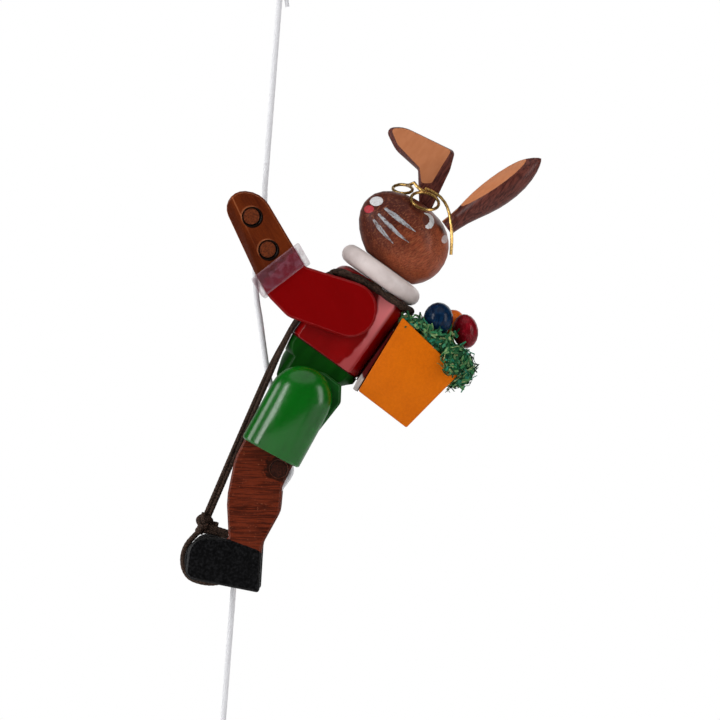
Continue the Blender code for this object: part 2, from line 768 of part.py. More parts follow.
def leg(parts, cutters, name, side):
    """One sawn board for seat, calf and shoe."""
    made = board(name, LEG_CORNERS, (HIP[0], side * BOARD_MID, HIP[1]), BOARD)
    hip_hole = cylinder_y(name + "_hip_hole", DOWEL + 2 * GLUE_GAP, -20 * MM, 20 * MM, HIP)
    combine(made, hip_hole, cutters)
    knee_hole = cylinder_y(
        name + "_knee_hole", DOWEL + 2 * GLUE_GAP, -20 * MM, 20 * MM, KNEE_PIN
    )
    combine(made, knee_hole, cutters)
    inner = side * (BOARD_IN - 1 * MM)
    outer = side * (BOARD_IN + BLIND_HOLE)
    foot_hole = cylinder_y(
        name + "_foot_hole", DOWEL_HOLE, min(inner, outer), max(inner, outer), FOOT_PIN
    )
    combine(made, foot_hole, cutters)
    place_in(paint(made, CALF_BROWN), parts)


def shorts(parts, cutters, name, side):
    """Half-round trouser leg with a domed top, glued on the outside of the leg board."""
    radius = 8.0 * MM
    length = 15.6 * MM
    profile = arc_profile((0.0, 0.0), radius, 90, 0, 8)
    profile[0] = (0.0, radius)
    profile += [(radius, -length + 0.4 * MM), (radius - 0.4 * MM, -length), (0.0, -length)]
    middle = (HIP[0], side * SHORTS_IN, HIP[1])
    made = turned(name, profile, middle, (0.0, 0.0, 1.0), 32)
    made.rotation_mode = "XYZ"
    made.rotation_euler = (0.0, THIGH_TILT, 0.0)
    made.scale = (1.0, SHORTS_DEPTH / radius, 1.0)
    half = box(
        name + "_inner_half",
        (60 * MM, 20 * MM, 60 * MM),
        (HIP[0], side * (SHORTS_IN - 10 * MM), HIP[1]),
    )
    combine(made, half, cutters)
    place_in(paint(made, GREEN), parts)


def dowels(parts):
    flush = BOARD_OUT - 0.1 * MM
    hidden = BOARD_IN + BLIND_HOLE - GLUE_GAP
    for name, half, place, look in (
        ("hand_pin_upper", flush, HAND_PIN_UP, BROWN),
        ("hand_pin_lower", flush, HAND_PIN_LOW, BROWN),
        ("shoulder_axle", hidden, SHOULDER, BARE_WOOD),
        ("hip_axle", flush, HIP, BARE_WOOD),
        ("knee_pin", flush, KNEE_PIN, CALF_BROWN),
        ("foot_pin", hidden, FOOT_PIN, BARE_WOOD),
    ):
        place_in(paint(cylinder_y(name, DOWEL, -half, half, place), look), parts)


def wrist_band(parts, cutters):
    """Clear plastic sleeve round both wrists, notched where the string comes out between the hands."""
    outer_half = BOARD_OUT + RUN_GAP + BAND_WALL
    made = board(
        "wrist_band", BAND_CORNERS, (SHOULDER[0], 0.0, SHOULDER[1]), 2 * outer_half, edge=0.3 * MM
    )
    room = board(
        "wrist_room",
        grown(ARM_CORNERS, RUN_GAP),
        (SHOULDER[0], 0.0, SHOULDER[1]),
        2 * (BOARD_OUT + RUN_GAP),
        edge=0.0,
    )
    combine(made, room, cutters)
    notch = curve_to_mesh(
        tube("string_notch", xz([(-0.95, -80.5), (-0.6, -84.5), (0.1, -89.5)]), STRING + 2 * RUN_GAP)
    )
    combine(made, notch, cutters)
    place_in(paint(made, FROSTED), parts)


def toe_block(parts):
    made = board(
        "toe_block", TOE_CORNERS, (HIP[0], 0.0, HIP[1]), 2 * (BOARD_IN - GLUE_GAP), edge=0.3 * MM
    )
    place_in(paint(made, BLACK), parts)


def basket_block(name, extra):
    """Tapered block: a cube whose corners are moved to the rim and the foot."""
    mesh = bpy.data.meshes.new(name)
    work = bmesh.new()
    bmesh.ops.create_cube(work, size=2.0)
    rim_middle = (Vector(BASKET_RIM[0]) + Vector(BASKET_RIM[1])) / 2
    foot_middle = (Vector(BASKET_FOOT[0]) + Vector(BASKET_FOOT[1])) / 2
    for corner in work.verts:
        right = corner.co.x > 0
        above = corner.co.z > 0
        ends = BASKET_RIM if above else BASKET_FOOT
        middle = rim_middle if above else foot_middle
        half = (BASKET_RIM_HALF if above else BASKET_FOOT_HALF) + extra
        across = half if corner.co.y > 0 else -half
        place = Vector(ends[1] if right else ends[0])
        away = (place - middle).normalized() * extra * 1.2
        lift = (rim_middle - foot_middle).normalized() * extra * (1 if above else -1)
        place = place + away + lift
        corner.co = (place.x, across, place.y)
    work.to_mesh(mesh)
    work.free()
    return bpy.data.objects.new(name, mesh)


def basket(parts, cutters):
    made = basket_block("basket", 0.0)
    bevel = made.modifiers.new("sanded_edge", "BEVEL")
    bevel.width = 0.35 * MM
    bevel.segments = 2
    place_in(paint(made, ORANGE), parts)


def basket_spacer(parts):
    """Thin wedge that fills the gap between the back of the jacket and the foot of the basket."""
    inner = TORSO_RADIUS + GLUE_GAP
    corners = [
        (inner, -9.5 * MM, 0.0),
        (inner + 0.2 * MM, -9.5 * MM, 0.0),
        (inner + 1.5 * MM, -27.4 * MM, 0.2 * MM),
        (inner + 0.4 * MM, -27.4 * MM, 0.2 * MM),
        (inner, -25.0 * MM, 0.0),
    ]
    made = board(
        "basket_spacer",
        [(x / MM, z / MM, radius / MM) for x, z, radius in corners],
        COLLAR_MIDDLE,
        2 * BODY_HALF,
        tilt=TORSO_TILT,
        edge=0.0,
    )
    place_in(paint(made, PALE), parts)


def eggs(parts):
    for name, (middle, radius, half, way) in EGGS.items():
        made = ball(name, middle, (radius, radius, half), way)
        place_in(paint(made, (name, EGG_COLOURS[name], 0.15, 0.0)), parts)


def grass(parts, cutters):
    """Clump of shavings on the basket, with hollows for the eggs, hanging over the near corner."""
    along = Vector((BASKET_RIM[1][0] - BASKET_RIM[0][0], 0.0, BASKET_RIM[1][1] - BASKET_RIM[0][1]))
    along.normalize()
    up = Vector((-along.z, 0.0, along.x))
    start = Vector((BASKET_RIM[0][0], 0.0, BASKET_RIM[0][1]))
    middle = start + along * 10.3 * MM + up * 0.6 * MM
    made = ball("grass", middle, (9.4 * MM, 9.6 * MM, 4.6 * MM), up, 22, 12)
    spill = ball(
        "grass_spill",
        start + along * 17.6 * MM + up * 0.2 * MM + Vector((0, -4.6 * MM, 0)),
        (5.2 * MM, 6.2 * MM, 5.4 * MM),
        up,
        16,
        10,
    )
    combine(made, spill, cutters, "UNION")
    combine(made, basket_block("basket_room", RUN_GAP), cutters)
    for name, (place, radius, half, way) in EGGS.items():
        room = ball(
            name + "_room", place, (radius + RUN_GAP, radius + RUN_GAP, half + RUN_GAP), way, 18, 10
        )
        combine(made, room, cutters)
    place_in(paint(made, GRASS), parts)


def xz(points, across=0.0):
    """Points in metres from (x, z) pairs in millimetres."""
    return [Vector((x * MM, across, z * MM)) for x, z in points]


def strings(parts):
    """The climbing string, in the stretches that the pins and the joints divide it into."""
    joint = 0.15 * MM
    half = STRING / 2
    loop = [
        (0.75, KNOT_TOP_Z / MM + 2.1),
        (1.9, -6.0),
        (2.75, -2.6),
        (2.0, 0.0),
        (0.0, half / MM),
        (-2.0, 0.0),
        (-2.75, -2.6),
        (-1.9, -6.0),
        (-0.75, KNOT_TOP_Z / MM + 2.1),
    ]
    pieces = {
        "hang_loop": xz([(x * 1.15, z) for x, z in loop]),
        "string_upper": [
            Vector((0, 0, KNOT_TOP_Z - KNOT_RADIUS - 0.4 * MM)),
            Vector((0, 0, -37 * MM)),
            Vector((0, 0, HAND_TOP_Z + joint)),
        ],
        "string_hand": [
            Vector((0, 0, HAND_TOP_Z - joint)),
            Vector((0.25 * MM, 0, -65.8 * MM)),
            Vector((HAND_PIN_UP[0] + PIN_TO_STRING, 0, HAND_PIN_UP[1])),
            Vector((-0.1 * MM, 0, -73.6 * MM)),
            Vector((HAND_PIN_LOW[0] - PIN_TO_STRING, 0, HAND_PIN_LOW[1])),
            Vector((-0.95 * MM, 0, -81.0 * MM)),
            Vector((-0.5 * MM, 0, HAND_STRING_END + joint)),
        ],
        "string_middle_upper": [
            Vector((-0.4 * MM, 0, HAND_STRING_END - joint)),
            *xz([(0.3, -90.5), (1.4, -95.0), (2.6, -100.6), (3.8, -106.0)]),
        ],
        "string_middle_lower": [
            *xz([(3.95, -106.4), (4.7, -109.2), (6.1, -113.6), (8.3, -120.6), (10.8, -128.2)]),
            Vector((KNEE_PIN[0] + PIN_TO_STRING - 0.2 * MM, 0, KNEE_PIN[1] + 0.9 * MM)),
        ],
        "string_leg": [
            Vector((KNEE_PIN[0] + PIN_TO_STRING - 0.05 * MM, 0, KNEE_PIN[1] + 0.4 * MM)),
            Vector((KNEE_PIN[0] + PIN_TO_STRING - 0.3 * MM, 0, KNEE_PIN[1] - 1.6 * MM)),
            *xz([(9.0, -138.6), (5.1, -147.0), (1.6, -154.6)]),
            Vector((0, 0, FOOT_PIN[1])),
            Vector((0, 0, SOLE_STRING_Z + joint)),
        ],
        "string_lower": [
            Vector((0, 0, SOLE_STRING_Z - joint)),
            Vector((0, 0, -180 * MM)),
            Vector((0, 0, KNOT_END_Z + KNOT_RADIUS + 0.4 * MM)),
        ],
    }
    for name, points in pieces.items():
        place_in(paint(tube(name, points, STRING), CORD_WHITE), parts)
    for name, height in (("string_knot_top", KNOT_TOP_Z), ("string_knot_bottom", KNOT_END_Z)):
        made = ball(
            name, (0, 0, height), (KNOT_RADIUS, KNOT_RADIUS, KNOT_RADIUS), segments=12, rings=8
        )
        place_in(paint(made, CORD_WHITE), parts)


def round_chest(places, side=1):
    """Torso points (down, out, across) in millimetres from the places round its front."""
    result = []
    for down, degrees, clearance in places:
        reach = TORSO_RADIUS / MM + clearance
        angle = math.radians(degrees)
        result.append((down, -reach * math.cos(angle), side * reach * math.sin(angle)))
    return result


def elastic(parts):
    """Elastic from the neck to the toes: a twisted pair round the neck, two strands, instep knot and toe loop."""
    flank = (BODY_HALF + ELASTIC + GLUE_GAP) / MM
    near_side = [(down, out, dip - flank) for down, out, dip in BESIDE_NECK]
    far_side = [(down, out, flank - dip) for down, out, dip in reversed(BESIDE_NECK)]
    behind = (BEHIND_NECK_DOWN, (TORSO_RADIUS + ELASTIC) / MM + 0.1, 0.0)
    route = round_chest(NEAR_CHEST, -1) + near_side + [behind] + far_side + round_chest(FAR_CHEST)
    neck = [torso_point(down * MM, out * MM, across * MM) for down, out, across in route]
    place_in(paint(tube("elastic_neck", neck, ELASTIC_PAIR, spacing=1.6 * ELASTIC_PAIR), CORD_BROWN), parts)
    lie = (CHEST_TO_INSTEP[0] - CHEST_TO_INSTEP[-1]).normalized()
    aside = Vector((lie.z, 0.0, -lie.x)) * STRAND_STEP / 2
    for name, chest, side in (("elastic_strand_left", NEAR_STRAND, 1), ("elastic_strand_right", FAR_STRAND, -1)):
        strand = [torso_point(down * MM, out * MM, across * MM) for down, out, across in round_chest(chest)]
        for down, out, across in round_chest(BOTH_STRANDS):
            strand.append(torso_point(down * MM, out * MM, across * MM) + aside * side)
        strand += [point + aside * side for point in CHEST_TO_INSTEP]
        strand.append(KNOT_MIDDLE + Vector((0.8, 0.0, 2.15)) * MM + aside * side)
        place_in(paint(tube(name, strand, ELASTIC), CORD_BROWN), parts)
    knot = ball("elastic_knot", KNOT_MIDDLE, KNOT_HALF, segments=12, rings=8)
    place_in(paint(knot, CORD_BROWN), parts)
    place_in(paint(tube("elastic_toe_loop", TOE_LOOP, ELASTIC, closed=True), CORD_BROWN), parts)


def build():
    clear_scene()
    parts = make_collection("climbing_rabbit")
    cutters = make_collection("cutters")
    jacket(parts, cutters)
    hip_block(parts, cutters)
    collar(parts, cutters)
    neck_dowel(parts)
    head(parts, cutters)
    head_room = head_shape("head_room", GLUE_GAP)
    ear_left(parts, cutters, head_room)
    ear_right(parts, cutters, head_room)
    spectacles(parts)
    for name, side in (("arm_left", -1), ("arm_right", 1)):
        arm(parts, cutters, name, side)
    for name, side in (("leg_left", -1), ("leg_right", 1)):
        leg(parts, cutters, name, side)
    for name, side in (("shorts_left", -1), ("shorts_right", 1)):
        shorts(parts, cutters, name, side)
    dowels(parts)
    wrist_band(parts, cutters)
    toe_block(parts)
    basket(parts, cutters)
    basket_spacer(parts)
    eggs(parts)
    grass(parts, cutters)
    strings(parts)
    elastic(parts)


build()
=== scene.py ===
# Looks of a wooden rabbit that climbs a string: cords, shavings, painted face and a finish for every piece.
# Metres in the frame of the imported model; lengths in materials are in millimetres.

import json
import math
import random

import bpy
from mathutils import Matrix, Vector
from mathutils.bvhtree import BVHTree

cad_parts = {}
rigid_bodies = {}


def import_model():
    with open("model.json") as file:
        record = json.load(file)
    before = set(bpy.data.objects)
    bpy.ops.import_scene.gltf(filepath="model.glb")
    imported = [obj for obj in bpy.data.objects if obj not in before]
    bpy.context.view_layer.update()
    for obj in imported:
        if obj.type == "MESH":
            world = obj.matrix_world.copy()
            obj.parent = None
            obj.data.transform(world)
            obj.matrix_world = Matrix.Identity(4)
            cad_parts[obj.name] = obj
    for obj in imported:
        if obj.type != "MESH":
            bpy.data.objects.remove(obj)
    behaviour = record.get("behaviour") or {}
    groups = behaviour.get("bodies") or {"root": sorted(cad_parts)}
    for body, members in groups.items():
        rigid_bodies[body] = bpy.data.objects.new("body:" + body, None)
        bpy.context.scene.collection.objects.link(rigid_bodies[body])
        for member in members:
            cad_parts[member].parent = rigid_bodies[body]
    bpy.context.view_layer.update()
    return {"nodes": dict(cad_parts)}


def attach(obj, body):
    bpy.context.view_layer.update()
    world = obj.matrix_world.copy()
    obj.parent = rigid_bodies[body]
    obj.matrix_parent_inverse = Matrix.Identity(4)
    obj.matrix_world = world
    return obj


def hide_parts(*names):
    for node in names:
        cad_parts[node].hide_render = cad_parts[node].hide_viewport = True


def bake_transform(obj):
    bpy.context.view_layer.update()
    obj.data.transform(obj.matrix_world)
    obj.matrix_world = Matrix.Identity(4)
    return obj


MM = 0.001

# Camera: one pixel of the 720 wide picture is a quarter of a millimetre at the near boards
PIXEL = 0.25 * MM
VIEW_WIDTH = 720 * PIXEL
STRING_LEAN = math.radians(4.47)
CAMERA_AIM = Vector((27.3, -9, -103.2)) * MM
CAMERA_DISTANCE = 1.1
SENSOR = 36

# Places shared with the solids
HIP = Vector((13.2, 0, -113.8))
STRING = 1.5 * MM
ELASTIC = 1.25 * MM
ELASTIC_PAIR = 2.1 * MM
BODY_HALF = 6.5
TORSO_RADIUS = 10.3
HEM = 24.7
TORSO_TILT = math.radians(31.1)
TORSO_DOWN = (-math.sin(TORSO_TILT), 0, -math.cos(TORSO_TILT))
TORSO_OUT = (math.cos(TORSO_TILT), 0, -math.sin(TORSO_TILT))
COLLAR_MIDDLE = Vector((30.85, 0, -81.45)) * MM
HAND_PINS = ((-2.5, -69.6), (2.2, -77.5))
KNEE_PIN = (9.2, -131.9)

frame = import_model()
node = frame["nodes"]


def make_camera():
    data = bpy.data.cameras.new("camera")
    data.sensor_width = SENSOR
    data.lens = SENSOR * CAMERA_DISTANCE / VIEW_WIDTH
    data.clip_start = 0.05
    data.clip_end = 20
    camera = bpy.data.objects.new("camera", data)
    bpy.context.scene.collection.objects.link(camera)
    right = Vector((math.cos(STRING_LEAN), 0, math.sin(STRING_LEAN)))
    up = Vector((-math.sin(STRING_LEAN), 0, math.cos(STRING_LEAN)))
    back = Vector((0, -1, 0))
    turn = Matrix((right, up, back)).transposed().to_4x4()
    camera.matrix_world = Matrix.Translation(CAMERA_AIM + back * CAMERA_DISTANCE) @ turn
    bpy.context.scene.camera = camera


def make_object(name, verts, faces, smooth=True):
    mesh = bpy.data.meshes.new(name)
    mesh.from_pydata([tuple(v) for v in verts], [], faces)
    if smooth:
        mesh.shade_smooth()
    made = bpy.data.objects.new(name, mesh)
    bpy.context.scene.collection.objects.link(made)
    return made


def quads(rows, around, first=0, closed=True, looped=False):
    """Faces between neighbouring rows of points: closed rows go round, looped rows end at the first one."""
    faces = []
    for row in range(rows if looped else rows - 1):
        a = first + row * around
        b = first + (row + 1) % rows * around
        for k in range(around if closed else around - 1):
            after = (k + 1) % around
            faces.append((a + k, a + after, b + after, b + k))
    return faces


def settle(piece, body, look=None):
    """The piece moves with a body and gets a look."""
    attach(piece, body)
    if look:
        look.on(piece)


def smooth_solids():
    """Rounds shade smoothly and edges over 35 degrees stay sharp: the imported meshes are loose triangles."""
    group = bpy.data.node_groups.new("smooth_rounds", "GeometryNodeTree")
    for side in ("INPUT", "OUTPUT"):
        group.interface.new_socket("Geometry", in_out=side, socket_type="NodeSocketGeometry")
    new = group.nodes.new
    plain = new("GeometryNodeRemoveAttribute")
    plain.inputs["Name"].default_value = "custom_normal"
    joined = new("GeometryNodeMergeByDistance")
    joined.inputs["Distance"].default_value = 0.001 * MM
    edges = new("GeometryNodeSetShadeSmooth")
    edges.domain = "EDGE"
    faces = new("GeometryNodeSetShadeSmooth")
    faces.domain = "FACE"
    faces.inputs["Shade Smooth"].default_value = True
    angle = new("GeometryNodeInputMeshEdgeAngle")
    gentle = new("FunctionNodeCompare")
    gentle.operation = "LESS_THAN"
    gentle.inputs[1].default_value = math.radians(35)
    link = group.links.new
    link(angle.outputs["Unsigned Angle"], gentle.inputs[0])
    link(gentle.outputs[0], edges.inputs["Shade Smooth"])
    steps = (new("NodeGroupInput"), plain, joined, edges, faces, new("NodeGroupOutput"))
    for before, after in zip(steps, steps[1:]):
        link(before.outputs["Geometry"], after.inputs["Geometry"])
    for solid in node.values():
        modifier = solid.modifiers.new("smooth_rounds", "NODES")
        modifier.node_group = group


# Cords, with the number of points round each kind

FINE_STEPS = 24
CORD_SPACING = 0.16 * MM
STRING_SIDES = 20
KNOT_SIDES = 14
ELASTIC_SIDES = 18
PAIR_SIDES = 28
WIRE_SIDES = 16


def catmull_rom(before, a, b, after, t):
    return 0.5 * (
        2 * a
        + (b - before) * t
        + (2 * before - 5 * a + 4 * b - after) * t**2
        + (3 * a - before - 3 * b + after) * t**3
    )


def smooth_path(points):
    """Points at a steady spacing on the smooth curve through the given ones."""
    route = [Vector(p) for p in points]
    fine = []
    for i in range(len(route) - 1):
        a = route[i]
        b = route[i + 1]
        before = route[i - 1] if i else a * 2 - b
        after = route[i + 2] if i + 2 < len(route) else b * 2 - a
        fine += [catmull_rom(before, a, b, after, k / FINE_STEPS) for k in range(FINE_STEPS)]
    fine.append(route[-1])
    lengths = [0]
    for a, b in zip(fine, fine[1:]):
        lengths.append(lengths[-1] + (b - a).length)
    pieces = max(2, round(lengths[-1] / CORD_SPACING))
    result = []
    index = 0
    for i in range(pieces + 1):
        goal = lengths[-1] * i / pieces
        while index < len(fine) - 2 and lengths[index + 1] < goal:
            index += 1
        share = (goal - lengths[index]) / max(lengths[index + 1] - lengths[index], 1e-9)
        result.append(fine[index].lerp(fine[index + 1], min(1, share)))
    return result


def weave(depth, threads, pitch):
    """Relief of a braid or a knitted cover: the share of the radius at an angle and a distance along."""
    def relief(angle, distance):
        lay = 2 * math.pi * distance / (pitch * MM)
        return 1 - depth + depth * math.cos(threads * angle + lay) * math.cos(threads * angle - lay)
    return relief


braided = weave(0.045, 4, 3.4)
ribbed = weave(0.06, 3, 2)


def twisted(angle, distance):
    """Share of the radius of two plies twisted round each other."""
    lay = 2 * math.pi * distance / (9 * MM)
    rib = math.cos(9 * angle + 5 * lay) * math.cos(9 * angle - 5 * lay)
    return 0.7 + 0.27 * abs(math.cos(angle - lay)) + 0.03 * rib


def cord_mesh(name, points, diameter, relief, around):
    """A cord along a smooth curve, whose yarns stand out as relief."""
    path = smooth_path(points)
    verts = []
    ahead = (path[1] - path[0]).normalized()
    side = ahead.orthogonal().normalized()
    walked = 0
    for i, here in enumerate(path):
        following = path[min(i + 1, len(path) - 1)]
        previous = path[max(i - 1, 0)]
        now = (following - previous).normalized()
        side = (side - now * side.dot(now)).normalized()
        other = now.cross(side)
        walked += (here - previous).length
        for k in range(around):
            angle = 2 * math.pi * k / around
            radius = diameter / 2 * relief(angle, walked)
            verts.append(here + (side * math.cos(angle) + other * math.sin(angle)) * radius)
    faces = quads(len(path), around)
    last = (len(path) - 1) * around
    faces.append(tuple(range(around - 1, -1, -1)))
    faces.append(tuple(range(last, last + around)))
    made = make_object(name, verts, faces)
    made.data.set_sharp_from_angle(angle=math.radians(60))
    return made, path


def fixed_cord(name, points, diameter, relief, around, body, packed=None):
    """A stretch of cord that moves with one body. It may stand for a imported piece."""
    piece, path = cord_mesh(name, points, diameter, relief, around)
    if packed:
        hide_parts(packed)
    settle(piece, body)
    return piece


def in_mm(points):
    """Points in metres from (x, z) or (x, y, z) in millimetres."""
    return [Vector(p if len(p) == 3 else (p[0], 0, p[1])) * MM for p in points]


def torso_point(down, out, across=0):
    """A point of the torso from distances in millimetres: down its axis, out to the back, and Y."""
    x = out * TORSO_OUT[0] + down * TORSO_DOWN[0]
    z = out * TORSO_OUT[2] + down * TORSO_DOWN[2]
    return COLLAR_MIDDLE + Vector((x, across, z)) * MM


# The string's stretches: what each moves with, and its route as (x, z)
STRING_STRETCHES = {
    "string_upper": (("string", "arms"), [(0, -12.9), (0, -37), (0, -62)]),
    "string_hand": (
        ("arms",),
        [(0, -62), (0.25, -65.8), (0.55, -69.6), (-0.1, -73.6), (-0.85, -77.5), (-0.95, -81), (-0.5, -86)],
    ),
    "string_middle_upper": (
        ("arms", "torso"),
        [(-0.5, -86), (0.3, -90.5), (1.4, -95), (2.6, -100.6), (3.85, -106.2)],
    ),
    "string_middle_lower": (
        ("torso", "legs"),
        [(3.85, -106.2), (4.7, -109.2), (6.1, -113.6), (8.3, -120.6), (10.8, -128.2), (12.05, -131)],
    ),
    "string_leg": (
        ("legs",),
        [(12.05, -131), (11.95, -133.5), (9, -138.6), (5.1, -147), (1.6, -154.6), (0, -158.9), (0, -160.5)],
    ),
    "string_lower": (("foot_pin", "string_end"), [(0, -160.5), (0, -180), (0, -200.2)]),
}


def make_strings():
    """Each stretch that one body holds moves with it; a stretch between two bodies is fixed where it is made.
    """
    made = {}
    for name, (bodies, route) in STRING_STRETCHES.items():
        piece, path = cord_mesh("cord_" + name, in_mm(route), STRING, braided, STRING_SIDES)
        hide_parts(name)
        if len(bodies) == 1:
            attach(piece, bodies[0])
        else:
            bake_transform(piece)
        made[name] = (piece, path)
    return made


def knot_points(middle, size, way):
    """A loose trefoil, the shape of an overhand knot, round an axis."""
    turn = Vector(way).to_track_quat("Z", "Y")
    steps = 24
    points = []
    for i in range(steps + 1):
        t = 2 * math.pi * i / steps
        x = math.sin(t) + 2 * math.sin(2 * t)
        y = math.cos(t) - 2 * math.cos(2 * t)
        points.append(middle + turn @ (Vector((x, y, -1.1 * math.sin(3 * t))) * size / 3))
    return points


def make_string_ends():
    """The tied loop that hangs on its hook, its knot, and the stopper knot below."""
    height = -11.6
    half_loop = [(0.85, height + 0.5), (1.2, height + 2.6), (2.2, -6), (3.15, -2.6), (2.3, 0)]
    loop = half_loop + [(0, 0.75)] + [(-x, z) for x, z in reversed(half_loop)]
    turns = 3
    steps = 60
    wraps = []
    for i in range(steps + 1):
        angle = 2 * math.pi * turns * i / steps
        wraps.append((1.55 * math.cos(angle), 1.1 * math.sin(angle), height + 1.15 - 2.6 * i / steps))
    core = [(0, height + 1.6), (0, height), (0, height - 1.6)]
    tail = [(0.9, 0.3, height - 1.2), (1.7, 0.5, height - 2.4), (2.1, 0.8, height - 4.2)]
    top = [
        fixed_cord("cord_" + name, in_mm(route), diameter, braided, around, "string", packed)
        for name, route, diameter, around, packed in (
            ("hang_loop", loop, STRING, STRING_SIDES, "hang_loop"),
            ("knot_top", wraps, 1.1 * MM, KNOT_SIDES, "string_knot_top"),
            ("knot_core", core, 2 * MM, KNOT_SIDES, None),
            ("knot_tail", tail, 1.1 * MM, KNOT_SIDES, None),
        )
    ]
    stopper = fixed_cord(
        "cord_knot_bottom", knot_points(Vector((0, 0, -201.5)) * MM, 1.35 * MM, (0.2, 0.1, 1)), 1.05 * MM,
        braided, KNOT_SIDES, "string_end", "string_knot_bottom",
    )
    return top, stopper


# Elastic round the chest as (down, degrees round from the front, clearance to the cord's middle)
NEAR_CHEST = [(10.2, 26.2, 1.24), (7.8, 28.3, 1.29), (6.1, 33.5, 1.21)]
FAR_CHEST = [(6.1, 33.5, 1.21), (7.3, 24.8, 1.15), (8.6, 13.2, 1.15)]
NEAR_STRAND = [(10.9, -25.9, 1.15), (13.5, -27.5, 0.97), (17.2, -28, 0.97)]
FAR_STRAND = [(9.4, 8.1, 1.06), (11, -2, 1.11), (13.5, -13.2, 1.1), (17.2, -18.9, 1.12)]
BOTH_STRANDS = [(23.3, -23.6, 1.46), (28, -28.5, 1.23), (31.4, -32.1, 0.98)]

# Elastic beside the neck as (down, out, dip towards the flank), and below the chest as places
BESIDE_NECK = [(5.3, -8.3, 0), (4.2, -4, 0), (3.65, 0, 0), (3.55, 4, 0), (3.4, 7.9, 0.45)]
BEHIND_NECK = (3.05, 11.4, 0)
FLANK = 7.75
CHEST_TO_INSTEP = [(4.5, -5, -109), (-1.2, -2.4, -125.4)]
KNOT_MIDDLE = Vector((-8.6, 0, -146.9))
STRAND_STEP = 1 * MM
# How far each strand is moved sideways, in half steps, and back: the far one starts behind the near one
STRAND_SPREAD = {
    "elastic_strand_left": [(1, 0)] * 5,
    "elastic_strand_right": [(0.4, 1), (0.2, 1), (-0.2, 0.9), (-0.8, 0.5), (-1, 0)],
}
TOE_LOOP = [
    (-6.3, -149.3), (-9.3, -149.3), (-11.2, -151.1), (-12.7, -153.4), (-13.3, -156.2), (-12.8, -159),
    (-11.2, -161.1), (-8.3, -162.05), (-5, -162.05), (-3.6, -161), (-3.5, -156), (-3.5, -151.6),
    (-3.8, -149.9), (-6.3, -149.3),
]


def round_chest(places, side=1):
    """Torso places (down, out, across) from the places round its front."""
    result = []
    for down, degrees, clearance in places:
        reach = TORSO_RADIUS + clearance
        angle = math.radians(degrees)
        result.append((down, -reach * math.cos(angle), side * reach * math.sin(angle)))
    return result


def make_neck_elastic():
    near_side = [(down, out, dip - FLANK) for down, out, dip in BESIDE_NECK]
    far_side = [(down, out, FLANK - dip) for down, out, dip in reversed(BESIDE_NECK)]
    route = round_chest(NEAR_CHEST, -1) + near_side + [BEHIND_NECK] + far_side + round_chest(FAR_CHEST)
    points = [torso_point(*place) for place in route]
    fixed_cord(
        "elastic_round_neck", points, ELASTIC_PAIR, twisted, PAIR_SIDES,
        "torso", "elastic_neck",
    )


def make_strands():
    """Two strands side by side from the chest to the instep."""
    low = in_mm(CHEST_TO_INSTEP)
    lie = (low[0] - low[-1]).normalized()
    aside = Vector((lie.z, 0, -lie.x)) * STRAND_STEP / 2
    on_chest = [torso_point(*place) for place in round_chest(BOTH_STRANDS)]
    for name, chest, side in (
        ("elastic_strand_left", NEAR_STRAND, 1),
        ("elastic_strand_right", FAR_STRAND, -1),
    ):
        points = [torso_point(*place) for place in round_chest(chest)]
        for place, (spread, depth) in zip(on_chest + low, STRAND_SPREAD[name]):
            points.append(place + aside * spread + Vector((0, depth, 0)) * MM)
        points.append((KNOT_MIDDLE + Vector((0.35, 0, 0.9))) * MM + aside * side)
        strand, path = cord_mesh("cord_" + name, points, ELASTIC, ribbed, ELASTIC_SIDES)
        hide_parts(name)
        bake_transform(strand)


def make_foot_elastic():
    """Loop round the toe, the knot on the instep with its two short ends, and the lead between the legs."""
    knot = knot_points(KNOT_MIDDLE * MM, 1.4 * MM, (0.3, 1, 0.2))
    end_up = [(-8.5, -1, -147), (-8.9, -1.2, -145.9), (-8.8, -1.2, -144.5)]
    end_back = [(-7.6, 0.8, -147.6), (-6.4, 1, -147.3), (-5.2, 0.8, -147.5)]
    lead = [(-8.2, 0, -147.4), (-6.4, 0, -148.4), (-3.8, 0, -149.1), (-2.3, 0, -149.4)]
    below = [(-8.8, -0.4, -147.6), (-9.3, -0.2, -148.6), (-9.9, 0, -149.7)]
    for name, points, diameter, packed in (
        ("elastic_loop", in_mm(TOE_LOOP), 1.2 * ELASTIC, "elastic_toe_loop"),
        ("elastic_tied_knot", knot, 1.9 * MM, "elastic_knot"),
        ("elastic_end_up", in_mm(end_up), 1.4 * MM, None),
        ("elastic_end_back", in_mm(end_back), 1.5 * MM, None),
        ("elastic_lead", in_mm(lead), 2 * MM, None),
        ("elastic_below_knot", in_mm(below), 2.4 * MM, None),
    ):
        fixed_cord(name, points, diameter, ribbed, ELASTIC_SIDES, "legs", packed)


# Materials


